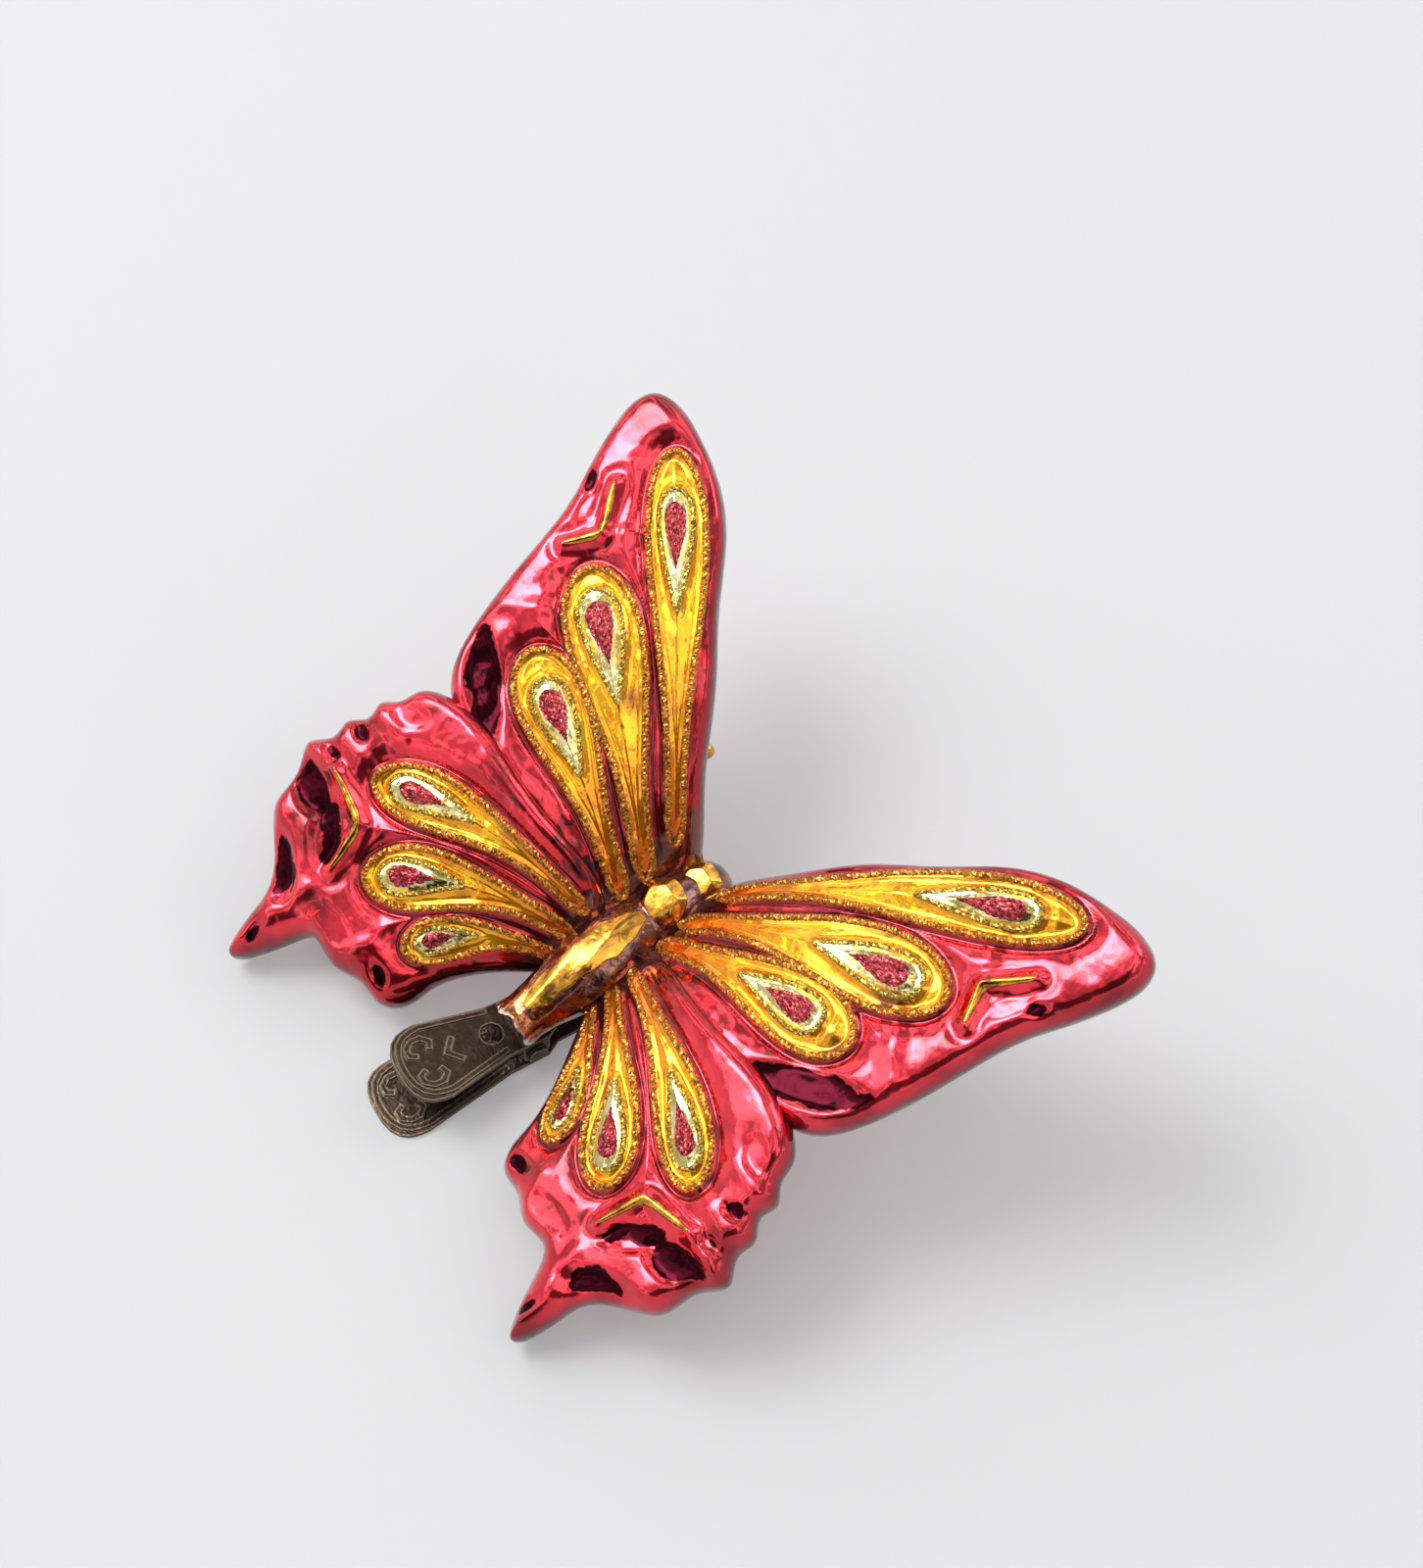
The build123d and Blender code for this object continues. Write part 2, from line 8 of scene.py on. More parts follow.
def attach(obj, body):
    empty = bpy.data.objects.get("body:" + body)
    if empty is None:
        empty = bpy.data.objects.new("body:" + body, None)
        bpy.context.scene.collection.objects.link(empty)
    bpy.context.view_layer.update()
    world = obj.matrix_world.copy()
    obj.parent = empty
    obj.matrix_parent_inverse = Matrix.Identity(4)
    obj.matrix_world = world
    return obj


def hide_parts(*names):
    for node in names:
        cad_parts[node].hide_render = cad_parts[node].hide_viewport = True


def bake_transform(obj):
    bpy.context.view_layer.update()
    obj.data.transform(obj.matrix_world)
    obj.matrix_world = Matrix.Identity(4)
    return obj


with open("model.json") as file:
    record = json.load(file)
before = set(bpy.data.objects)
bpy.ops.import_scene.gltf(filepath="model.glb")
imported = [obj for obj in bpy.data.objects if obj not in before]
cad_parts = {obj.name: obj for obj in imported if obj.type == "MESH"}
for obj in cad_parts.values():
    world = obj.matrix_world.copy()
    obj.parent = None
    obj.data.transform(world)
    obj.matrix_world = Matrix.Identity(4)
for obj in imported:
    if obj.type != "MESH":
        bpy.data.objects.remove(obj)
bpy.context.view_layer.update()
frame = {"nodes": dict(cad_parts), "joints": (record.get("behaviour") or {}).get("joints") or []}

# Wings: one hollow shell of blown glass, silvered inside and lacquered red outside.
# The mould leaves a raised line round each teardrop, an angle near each outer edge,
# grooves between the teardrops and dished lobes along the hindwings.
half_span = 59.0
wing_thickness = 6.0
edge_reach = 2.3
body_pitch = np.radians(20.0)
collar_top = np.array([0.0, 6.2325, 22.05])
fore_outline_shares = [
    (0.050, 0.125), (0.170, 0.270), (0.305, 0.432), (0.458, 0.578), (0.576, 0.698), (0.695, 0.773),
    (0.830, 0.814), (0.930, 0.824), (0.992, 0.800), (1.012, 0.745), (1.000, 0.668), (0.962, 0.560),
    (0.924, 0.470), (0.895, 0.356), (0.876, 0.246), (0.850, 0.125), (0.815, 0.015), (0.775, -0.055),
    (0.716, -0.100), (0.600, -0.118), (0.440, -0.140), (0.240, -0.165), (0.060, -0.150), (0.015, -0.010),
]
hind_outline_shares = [
    (0.085, -0.125), (0.320, -0.085), (0.560, -0.068), (0.725, -0.098), (0.788, -0.152), (0.804, -0.200),
    (0.838, -0.242), (0.832, -0.288), (0.866, -0.336), (0.864, -0.388), (0.902, -0.448), (0.866, -0.520),
    (0.846, -0.615), (0.760, -0.694), (0.692, -0.766), (0.674, -0.850), (0.632, -0.958), (0.590, -0.900),
    (0.552, -0.812), (0.518, -0.758), (0.428, -0.762), (0.352, -0.734), (0.280, -0.730), (0.240, -0.680),
    (0.230, -0.612), (0.205, -0.535), (0.150, -0.440), (0.085, -0.350), (0.040, -0.240),
]
# Teardrops as shares of the half span: root, outer end, half width, bow towards the head, and where along it the
# eye starts and stops.
fore_drop_shares = [
    ((0.070, 0.085), (0.829, 0.741), 0.086, 0.030, (0.570, 0.885)),
    ((0.058, -0.022), (0.742, 0.381), 0.106, 0.034, (0.535, 0.905)),
    ((0.062, -0.090), (0.675, 0.132), 0.098, 0.026, (0.460, 0.850)),
]
hind_drop_shares = [
    ((0.080, -0.172), (0.688, -0.381), 0.078, 0.044, (0.530, 0.910)),
    ((0.072, -0.232), (0.520, -0.560), 0.084, 0.042, (0.500, 0.905)),
    ((0.065, -0.295), (0.318, -0.600), 0.058, 0.040, (0.500, 0.890)),
]
# How a teardrop narrows: width at its root as a share of the full width, and the power of its rise.
drop_full_share, drop_shape, eye_shape = 0.78, (0.23, 3.2), (0.04, 1.25)
line_width = 1.3
eye_width_share, dab_width_share = 0.50, 0.35
fore_chevron_shares = [(0.849, 0.573), (0.766, 0.464), (0.817, 0.371)]
hind_chevron_shares = [(0.766, -0.437), (0.615, -0.473), (0.583, -0.608)]
# Dishes pressed into the glass: middle, half length, half width, turn in degrees, depth in millimetres.
fore_dish_shares = [
    ((0.676, -0.008), 0.160, 0.048, 33.0, 1.00), ((0.905, 0.525), 0.030, 0.020, 60.0, 0.60),
    ((0.850, 0.480), 0.060, 0.026, 72.0, 0.30), ((0.420, -0.118), 0.160, 0.022, -4.0, 0.30),
]
hind_dish_shares = [
    ((0.792, -0.513), 0.086, 0.050, 17.0, 1.15), ((0.695, -0.705), 0.100, 0.044, 34.0, 1.15),
    ((0.668, -0.560), 0.085, 0.040, 52.0, 1.00), ((0.800, -0.322), 0.034, 0.022, 20.0, 0.80),
    ((0.815, -0.418), 0.030, 0.020, 10.0, 0.60), ((0.730, -0.200), 0.050, 0.030, -30.0, 0.35),
    ((0.312, -0.680), 0.034, 0.022, 20.0, 0.80), ((0.470, -0.690), 0.075, 0.032, 5.0, 0.35),
    ((0.608, -0.882), 0.050, 0.015, 75.0, 0.70),
]
# Ridges that run out to the lobes: start, end, height and half width in millimetres.
fore_ridge_shares = [((0.640, 0.300), (0.800, 0.160), 0.45, 1.6), ((0.760, 0.470), (0.700, 0.560), 0.40, 1.3)]
hind_ridge_shares = [
    ((0.680, -0.600), (0.838, -0.612), 0.55, 2.3), ((0.766, -0.437), (0.880, -0.446), 0.60, 1.3),
    ((0.600, -0.690), (0.622, -0.800), 0.45, 1.5), ((0.700, -0.360), (0.850, -0.372), 0.45, 1.3),
    ((0.700, -0.250), (0.826, -0.262), 0.40, 1.3), ((0.380, -0.650), (0.424, -0.740), 0.40, 1.4),
]
# Where the lacquer has crackled, between the third teardrop of the forewing and the hindwing.
crackle_shares = ((0.150, -0.112), (0.250, -0.078))


def seat(points):
    """Millimetres about the collar's top, nose along Y, to metres in the part's frame: pitched nose-up, then lifted."""
    c, s = np.cos(body_pitch), np.sin(body_pitch)
    return (points @ np.array([[1, 0, 0], [0, c, -s], [0, s, c]]).T + collar_top) / 1000


def closed_curve(points, count):
    """Closed smooth curve: a cubic between neighbours, spaced by chord length, whose slopes at the points
    solve one cyclic set of linear equations that keeps its bend continuous."""
    p = np.asarray(points, float)
    n, i = len(p), np.arange(len(p))
    h = np.linalg.norm(np.roll(p, -1, 0) - p, axis=1)
    before = np.roll(h, 1)
    d = (np.roll(p, -1, 0) - p) / h[:, None]
    cyclic = np.zeros((n, n))
    cyclic[i, i - 1], cyclic[i, i], cyclic[i, (i + 1) % n] = h, 2 * (h + before), before
    slope = np.linalg.solve(cyclic, 3 * (h[:, None] * np.roll(d, 1, 0) + before[:, None] * d))
    knots = np.concatenate([[0], np.cumsum(h)])
    s = np.linspace(0, knots[-1], count, endpoint=False)
    k = np.searchsorted(knots, s, "right") - 1
    u, step, k2 = ((s - knots[k]) / h[k])[:, None], h[k][:, None], (k + 1) % n
    return (p[k] * (2 * u**3 - 3 * u**2 + 1) + slope[k] * step * (u**3 - 2 * u**2 + u)
            + p[k2] * (3 * u**2 - 2 * u**3) + slope[k2] * step * (u**3 - u**2))


def off_pieces(x, y, start, end):
    """Least distance of each point from a set of straight pieces: the foot of the perpendicular, kept on the piece."""
    along = (end - start).astype(np.float32)
    dx = (x[..., None] - start[:, 0]).astype(np.float32)
    dy = (y[..., None] - start[:, 1]).astype(np.float32)
    foot = np.clip((dx * along[:, 0] + dy * along[:, 1]) / (along**2).sum(1), 0, 1)
    return np.sqrt(((dx - foot * along[:, 0]) ** 2 + (dy - foot * along[:, 1]) ** 2).min(-1))


def away(x, y, line):
    """Distance from a closed line, negative inside: inside is where a ray along X crosses the line an odd number of times."""
    after = np.roll(line, -1, 0)
    over = (line[:, 1] > y[..., None]) != (after[:, 1] > y[..., None])
    rise = np.where(after[:, 1] == line[:, 1], 1e-9, after[:, 1] - line[:, 1])
    cross = line[:, 0] + (y[..., None] - line[:, 1]) * (after[:, 0] - line[:, 0]) / rise
    inside = (over & (x[..., None] < cross)).sum(-1) % 2 == 1
    return np.where(inside, -1, 1) * off_pieces(x, y, line, after)


def spine(drop, share):
    """Bowed centre line of a teardrop: the parabola from root to outer end, and its direction."""
    root, end, _, bow, _ = drop
    root, end = np.array(root) * half_span, np.array(end) * half_span
    run = (end - root) / np.linalg.norm(end - root)
    mid = (root + end) / 2 + 2 * bow * half_span * np.array([-run[1], run[0]])
    s = share[:, None]
    along = (1 - s) * (mid - root) + s * (end - mid)
    return ((1 - s) ** 2 * root + 2 * s * (1 - s) * mid + s**2 * end,
            along / np.linalg.norm(along, axis=1)[:, None])


def drop_half(part, shape):
    """Width of a teardrop as a share of its full half width: a blunt root, a power of a sine, then an ellipse."""
    root, power = shape
    rise = np.sin(np.pi / 2 * np.minimum(part / drop_full_share, 1)) ** power
    rise = (root + (1 - root) * rise) * np.sqrt(np.minimum(part / 0.05, 1))
    fall = np.sqrt(np.maximum(1 - (np.maximum(part - drop_full_share, 0) / (1 - drop_full_share)) ** 2, 0))
    return rise * fall


def drop_line(drop, start, stop, half_width, shape, count):
    """Closed teardrop line evenly spaced along its length, between two shares of the spine."""
    part = 0.5 - 0.5 * np.cos(np.linspace(0, np.pi, 90))
    middle, along = spine(drop, start + part * (stop - start))
    side = np.stack([-along[:, 1], along[:, 0]], 1) * (half_width * drop_half(part, shape))[:, None]
    line = np.concatenate([middle + side, (middle - side)[-2:0:-1]])
    gone = np.concatenate([[0], np.cumsum(np.linalg.norm(np.roll(line, -1, 0) - line, axis=1))])
    round_again = np.concatenate([line, line[:1]])
    s = np.linspace(0, gone[-1], count, endpoint=False)
    return np.stack([np.interp(s, gone, round_again[:, 0]), np.interp(s, gone, round_again[:, 1])], 1)


def outer_line(drop, count):
    """Middle of the glitter line round a teardrop."""
    length = np.linalg.norm(np.subtract(drop[1], drop[0])) * half_span
    return drop_line(drop, 0.03, 1 - line_width / 2 / length, drop[2] * half_span - line_width / 2, drop_shape, count)


def eye_line(drop, count):
    """Middle of the small glitter line inside a teardrop."""
    return drop_line(drop, *drop[4], drop[2] * half_span * eye_width_share, eye_shape, count)


def hump(distance, width):
    """Bell that is 1 at no distance and falls with the square of distance over width."""
    return np.exp(-((distance / width) ** 2))


def make_wing(outline, drops, chevron, dishes, ridges, climb, hinge, middle):
    """Gathers one wing's lines in millimetres: outline, teardrops, eyes, angle, dishes and ridges."""
    return {
        "edge": closed_curve(np.array(outline) * half_span, 440), "drops": drops, "dishes": dishes,
        "ridges": ridges, "chevron": np.array(chevron) * half_span, "climb": np.radians(climb),
        "hinge": hinge * half_span, "middle": np.array(middle) * half_span,
        "lines": [outer_line(d, 130) for d in drops], "eyes": [eye_line(d, 60) for d in drops],
    }


fore = make_wing(fore_outline_shares, fore_drop_shares, fore_chevron_shares, fore_dish_shares,
                 fore_ridge_shares, 3.4, 0.0, (0.58, 0.27))
hind = make_wing(hind_outline_shares, hind_drop_shares, hind_chevron_shares, hind_dish_shares,
                 hind_ridge_shares, 11.3, -0.20, (0.50, -0.41))


def wing_plane(x, y, wing):
    """Upper face before any relief: an arch that levels off exponentially outwards, tilted up towards the head."""
    arch = half_span * (0.222 - 0.242 * np.exp(-(x / half_span - 0.068) / 0.2245))
    return arch / np.cos(wing["climb"]) + np.tan(wing["climb"]) * (y - wing["hinge"])


def relief(x, y, wing):
    """Moulded relief in millimetres, how deep the lacquer pools, and where the deeper dishes get a painted dark
    reflection: ridges on the lines, narrow grooves beside them, domed fields inside, swelling red between, dishes, the
    lobes' ridges and slow waves."""
    lines = np.stack([away(x, y, line) for line in wing["lines"]])
    eyes = np.stack([away(x, y, line) for line in wing["eyes"]]).min(0)
    near, inner = lines.min(0), np.abs(lines).min(0)
    high = 0.30 * hump(inner, 0.75) - 0.42 * hump(near - 1.15, 0.45) - 0.15 * hump(near + 1.15, 0.45)
    high += 1.05 * (1 - hump(np.maximum(near - 0.9, 0), 2.0))
    high += 0.85 * (1 - hump(np.maximum(-near - 0.9, 0), 2.2))
    high += 0.22 * hump(eyes, 0.6) - 0.28 * hump(eyes - 1.15, 0.55)
    high += 0.45 * (1 - hump(np.maximum(-eyes - 0.4, 0), 1.6))
    high *= 1 - hump(np.maximum(x - 5.0, 0), 5.5)
    bend = wing["chevron"]
    angle = off_pieces(x, y, bend[:-1], bend[1:])
    high += 0.75 * hump(angle, 0.9) - 0.30 * hump(angle - 1.9, 0.9)
    clear = (1 - hump(np.maximum(near - 0.6, 0), 0.9)) * (1 - hump(angle, 1.1))
    # The dish mark: where a painted dark reflection goes, in the deeper dishes and away from the ridges.
    dish_painted_reflection = np.zeros_like(high)
    for (mx, my), long, wide, turn, depth in wing["dishes"]:
        c, s = np.cos(np.radians(turn)), np.sin(np.radians(turn))
        u, v = x / half_span - mx, y / half_span - my
        flat = ((u * c + v * s) / long) ** 2 + ((v * c - u * s) / wide) ** 2
        high -= depth * clear * np.exp(-(flat**3))
        dish_painted_reflection = np.maximum(dish_painted_reflection, np.clip((depth - 0.35) / 0.2, 0, 1) * clear * np.exp(-flat))
    for start, end, tall, wide in wing["ridges"]:
        ridge = hump(off_pieces(x, y, *np.array([[start], [end]]) * half_span), wide)
        high += tall * ridge
        dish_painted_reflection *= 1 - ridge
    high += 0.11 * np.sin(0.42 * x + 0.9 * np.sin(0.31 * y)) * np.sin(0.37 * y + 0.7 * np.sin(0.28 * x) + 1.0)
    high += 0.05 * np.sin(1.05 * x - 0.6 * y) * np.sin(0.8 * y + 0.5 * x + 2.0)
    pool = hump(np.abs(near) - 1.0, 0.40)
    return high, np.clip(pool, 0, 1), dish_painted_reflection


def edge_rise(depth):
    """Rounded edge: a superellipse that rises from 0 at the outline to 1 at the edge's reach."""
    return (1 - (1 - np.clip(depth / edge_reach, 0, 1)) ** 2.4) ** (1 / 2.4)


def wing_top(x, y, wing):
    """Height of the finished upper face over points well inside the outline."""
    depth = np.maximum(-away(x, y, wing["edge"]), 0)
    raised = relief(x, y, wing)[0]
    return (wing_plane(x, y, wing) - wing_thickness / 2 * (1 - edge_rise(depth))
            + raised * (1 - hump(depth, 1.6)))


def wing_grid(wing):
    """Whole wing as rings about its middle: from the middle out over the top, round the edge, and back under.
    Each ring is the outline drawn in along its rays, close together where the edge turns."""
    edge = wing["edge"]
    ray = edge - wing["middle"]
    reach = np.linalg.norm(ray, axis=1)
    unit = ray / reach[:, None]
    run = np.roll(edge, -1, 0) - np.roll(edge, 1, 0)
    run /= np.linalg.norm(run, axis=1)[:, None]
    slant = np.abs(unit[:, 0] * run[:, 1] - unit[:, 1] * run[:, 0])
    turn = edge_reach * (1 - np.cos(np.linspace(0, np.pi / 2, 9)))
    inset = np.minimum(turn[:, None] / np.maximum(slant, 0.4), 0.45 * reach)
    rim = reach - inset
    over = np.concatenate([rim, rim[-1] * np.linspace(1, 0, 66)[1:-1, None]])
    under = np.concatenate([rim[1:], rim[-1] * np.linspace(1, 0, 22)[1:-1, None]])
    radius = np.concatenate([over[::-1], under])
    x, y = wing["middle"][0] + unit[:, 0] * radius, wing["middle"][1] + unit[:, 1] * radius
    depth = np.maximum(-away(x, y, edge), 0)
    depth[len(over) - 1] = 0
    half = wing_thickness / 2
    plane, keep = wing_plane(x, y, wing) - half, 1 - hump(depth, 1.6)
    raised, pool, dish_painted_reflection = relief(x, y, wing)
    top = np.arange(len(radius))[:, None] < len(over)
    swell = np.where(top, 1.0, -1.0) * half * edge_rise(depth)
    z = plane + swell + np.where(top, raised * keep, 0.0)
    crackle = hump(off_pieces(x, y, *np.array(crackle_shares)[:, None] * half_span), 2.6)
    # The dish mark carries a painted dark reflection into the deeper dishes.
    marks = {"pool": np.where(top, pool * keep, 0.0), "dish_painted_reflection": np.where(top, dish_painted_reflection * keep, 0.0),
             "glaze": np.clip((9.5 - x) / 4.0, 0, 1), "root": np.clip((24.0 - x) / 16.0, 0, 1),
             # The under mark: painted shade round the edge and on the underside near it, darkest at the rim.
             "crackle": np.where(top, crackle, 0.0), "under": np.clip(1.2 - swell / half, 0, 1) * hump(depth, 2.2)}
    return np.stack([x, y, z], -1), marks


def shell(name, parts, finish, smooth=True):
    """One closed mesh from grids whose columns run round. A grid's rows either run round too, or each end closes on
    the middle of its last ring. Faces are turned outwards by the sign of the volume they enclose."""
    points, faces, marks, first = [], [], {}, 0
    for grid, loops, values in parts:
        n, m = grid.shape[:2]
        i, j = np.arange(n if loops else n - 1)[:, None], np.arange(m)[None, :]
        quads = np.stack([i * m + j, i * m + (j + 1) % m, (i + 1) % n * m + (j + 1) % m, (i + 1) % n * m + j], -1)
        quads = quads.reshape(-1, 4)
        flat = grid.reshape(-1, 3)
        a, b, c, d = (flat[quads[:, k]] - flat.mean(0) for k in range(4))
        out = np.einsum("ij,ij->", a, np.cross(b, c)) + np.einsum("ij,ij->", a, np.cross(c, d)) > 0
        ends = [] if loops else [grid[0].mean(0), grid[-1].mean(0)]
        near, far = np.arange(m), np.arange(m) + (n - 1) * m
        fans = [] if loops else [np.stack([np.full(m, n * m), np.roll(near, -1), near], 1),
                                 np.stack([np.full(m, n * m + 1), far, np.roll(far, -1)], 1)]
        for face in [quads, *fans]:
            faces += (first + (face if out else face[:, ::-1])).tolist()
        points += [flat, *[e[None] for e in ends]]
        for key, value in values.items():
            marks.setdefault(key, []).append(np.concatenate([value.ravel(), *[value[k].mean(keepdims=True) for k in
                                                                              ([] if loops else [0, -1])]]))
        first += n * m + len(ends)
    mesh = bpy.data.meshes.new(name)
    mesh.from_pydata(np.concatenate(points).tolist(), [], faces)
    mesh.polygons.foreach_set("use_smooth", np.full(len(mesh.polygons), smooth))
    for key, values in marks.items():
        mesh.attributes.new(key, "FLOAT", "POINT").data.foreach_set("value", np.concatenate(values).astype(np.float32))
    mesh.materials.append(finish)
    piece = bpy.data.objects.new(name, mesh)
    bpy.context.scene.collection.objects.link(piece)
    return piece


def start_finish(name):
    """New material with its shader, and two makers: one adds a node, one joins two sockets."""
    made = bpy.data.materials.new(name)
    made.use_nodes = True
    tree = made.node_tree

    def node(kind, **values):
        n = tree.nodes.new(kind)
        for key, value in values.items():
            setattr(n, key, value)
        return n

    return made, tree.nodes["Principled BSDF"], node, tree.links.new


def clouds(node, join, scale, detail, low, high, stretch=(1.0, 1.0, 1.0)):
    """Noise over the piece's own coordinates, stretched so that low and high become 0 and 1."""
    place, noise, turned = node("ShaderNodeTexCoord"), node("ShaderNodeTexNoise"), node("ShaderNodeMapping")
    turned.inputs["Scale"].default_value = stretch
    noise.inputs["Scale"].default_value = scale
    noise.inputs["Detail"].default_value = detail
    join(place.outputs["Object"], turned.inputs["Vector"])
    join(turned.outputs["Vector"], noise.inputs["Vector"])
    spread = node("ShaderNodeMapRange")
    spread.inputs["From Min"].default_value, spread.inputs["From Max"].default_value = low, high
    join(noise.outputs["Fac"], spread.inputs["Value"])
    return spread.outputs["Result"]


def between(node, join, share, first, second):
    """Colour between two, by a share. Each colour is a value or another node's socket."""
    mix = node("ShaderNodeMix", data_type="RGBA")
    join(share, mix.inputs["Factor"])
    for slot_name, colour in (("A_Color", first), ("B_Color", second)):
        socket = next(s for s in mix.inputs if s.identifier == slot_name)
        if isinstance(colour, tuple):
            socket.default_value = (*colour, 1.0)
        else:
            join(colour, socket)
    return next(s for s in mix.outputs if s.identifier == "Result_Color")


def marked(node, name):
    """A value that the mesh carries at each point."""
    return node("ShaderNodeAttribute", attribute_name=name).outputs["Fac"]


def uneven(node, join, shader, scale, height, low, high):
    """Fine waves in the surface, and a roughness that drifts between two values."""
    bump = node("ShaderNodeBump")
    bump.inputs["Strength"].default_value = 0.35
    bump.inputs["Distance"].default_value = height
    join(clouds(node, join, scale, 2.0, 0.2, 0.8), bump.inputs["Height"])
    join(bump.outputs["Normal"], shader.inputs["Normal"])
    rough = node("ShaderNodeMapRange")
    rough.inputs["To Min"].default_value, rough.inputs["To Max"].default_value = low, high
    join(clouds(node, join, scale * 0.6, 3.0, 0.3, 0.7), rough.inputs["Value"])
    join(rough.outputs["Result"], shader.inputs["Roughness"])


def ragged(node, join, share, scale, swing, low, high):
    """A marked value pushed up and down by noise, then cut sharply between low and high."""
    push, cut = node("ShaderNodeMath", operation="MULTIPLY_ADD"), node("ShaderNodeMapRange")
    cut.interpolation_type = "SMOOTHSTEP"
    join(clouds(node, join, scale, 3.0, 0.3, 0.7), push.inputs[0])
    push.inputs[1].default_value = swing
    join(share, push.inputs[2])
    cut.inputs["From Min"].default_value = low + swing / 2
    cut.inputs["From Max"].default_value = high + swing / 2
    join(push.outputs["Value"], cut.inputs["Value"])
    return cut.outputs["Result"]


def flakes(node, join, scale):
    """Cells over the piece's own coordinates: two random values for each cell."""
    place, cells, pick = node("ShaderNodeTexCoord"), node("ShaderNodeTexVoronoi"), node("ShaderNodeSeparateColor")
    cells.inputs["Scale"].default_value = scale
    join(place.outputs["Object"], cells.inputs["Vector"])
    join(cells.outputs["Color"], pick.inputs["Color"])
    return pick.outputs["Red"], pick.outputs["Green"]


red_glass, shader, node, join = start_finish("red_lacquer_on_mirror")
shader.inputs["Metallic"].default_value = 0.92
shader.inputs["Specular IOR Level"].default_value = 0.0
shader.inputs["Coat Roughness"].default_value = 0.03
patches = between(node, join, clouds(node, join, 120.0, 4.0, 0.31, 0.58), (0.28, 0.003, 0.010), (0.92, 0.034, 0.060))
rooted = between(node, join, marked(node, "root"), patches, (0.66, 0.008, 0.012))
pooled = between(node, join, marked(node, "pool"), rooted, (0.13, 0.003, 0.006))
shards = between(node, join, flakes(node, join, 620.0)[0], (0.040, 0.001, 0.003), (0.48, 0.006, 0.012))
crackled = between(node, join, ragged(node, join, marked(node, "crackle"), 500.0, 0.5, 0.40, 0.60), pooled, shards)
# Painted reflection: the deeper dishes are painted near black and their coat is cut thin, standing in for the dark room
# they reflect.
dish_reflection_share = ragged(node, join, marked(node, "dish_painted_reflection"), 240.0, 0.45, 0.36, 0.44)
with_dish_reflection = between(node, join, dish_reflection_share, crackled, (0.026, 0.001, 0.004))
dish_coat_cut = node("ShaderNodeMapRange")
dish_coat_cut.inputs["To Min"].default_value, dish_coat_cut.inputs["To Max"].default_value = 0.7, 0.03
join(dish_reflection_share, dish_coat_cut.inputs["Value"])
join(dish_coat_cut.outputs["Result"], shader.inputs["Coat Weight"])
# Painted shade: the rim and the underside next to it are painted dark crimson, standing in for the dark reflection
# there.
shaded = between(node, join, marked(node, "under"), with_dish_reflection, (0.085, 0.003, 0.012))
glazed = ragged(node, join, marked(node, "glaze"), 420.0, 0.5, 0.35, 0.75)
join(between(node, join, glazed, shaded, (0.17, 0.045, 0.032)), shader.inputs["Base Color"])
uneven(node, join, shader, 230.0, 0.0008, 0.04, 0.16)

for pair, wing in (("fore", fore), ("hind", hind)):
    grid, marks = wing_grid(wing)
    for side, flip in (("right", 1.0), ("left", -1.0)):
        piece = shell(f"glass_wing_{pair}_{side}", [(seat(grid * [flip, 1, 1]), False, marks)], red_glass)
        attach(piece, "ornament")
        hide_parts("glass_body")

# Body: the trunk, collar and head of the same blown shell, glazed aubergine brown over the mirror.
# It ends behind in an open, unevenly broken lip of clear glass, where the blowing pipe was taken off.
trunk_profile = np.array([(-29.0, 3.95), (-26.5, 3.75), (-23.3, 4.2), (-19.5, 5.0), (-14.2, 6.0), (-8.9, 5.9),
                          (-4.6, 4.9), (-2.4, 4.1), (0.0, 3.2), (4.0, 2.6), (7.0, 0.5), (9.5, 0.0)])
trunk_axis = np.array([(-29.0, 0.0), (-20.0, -1.43), (-10.0, -3.02), (-3.0, -4.1), (0.0, -3.5), (3.0, -5.2),
                       (5.2, -6.9), (9.0, -7.2)])
collar_radius, head_radius, head_forward = 4.7, 4.3, 5.4
trunk_back, trunk_front, lip_bore_radius, lip_bore_depth = -29.0, 9.6, 3.0, 7.0


def smooth(y, table):
    """Line through a table's points, rounded by a running mean about 1.5 mm long."""
    fine = np.linspace(-34, 14, 961)
    value = np.interp(fine, table[:, 0], table[:, 1])
    rounded = np.convolve(np.pad(value, 15, "edge"), np.full(31, 1 / 31), "valid")
    return np.interp(y, fine, rounded)


def trunk(y, turn, lift):
    """Trunk as circles along its bent axis. The radius is a soft greatest of the belly, the collar's ball and the
    head's ball, with slow wrinkles along it, and lift moves the surface outwards."""
    collar = np.sqrt(np.maximum(collar_radius**2 - y**2, 0))
    head = np.sqrt(np.maximum(head_radius**2 - (y - head_forward) ** 2, 0))
    radius = (smooth(y, trunk_profile) ** 6 + collar**6 + head**6) ** (1 / 6) + lift
    radius = radius * (1 + 0.022 * np.sin(9 * turn + 0.5 * y) * np.clip((-2 - y) / 4, 0, 1))
    return np.stack([radius * np.sin(turn), y + 0 * turn, smooth(y, trunk_axis) + radius * np.cos(turn)], -1)


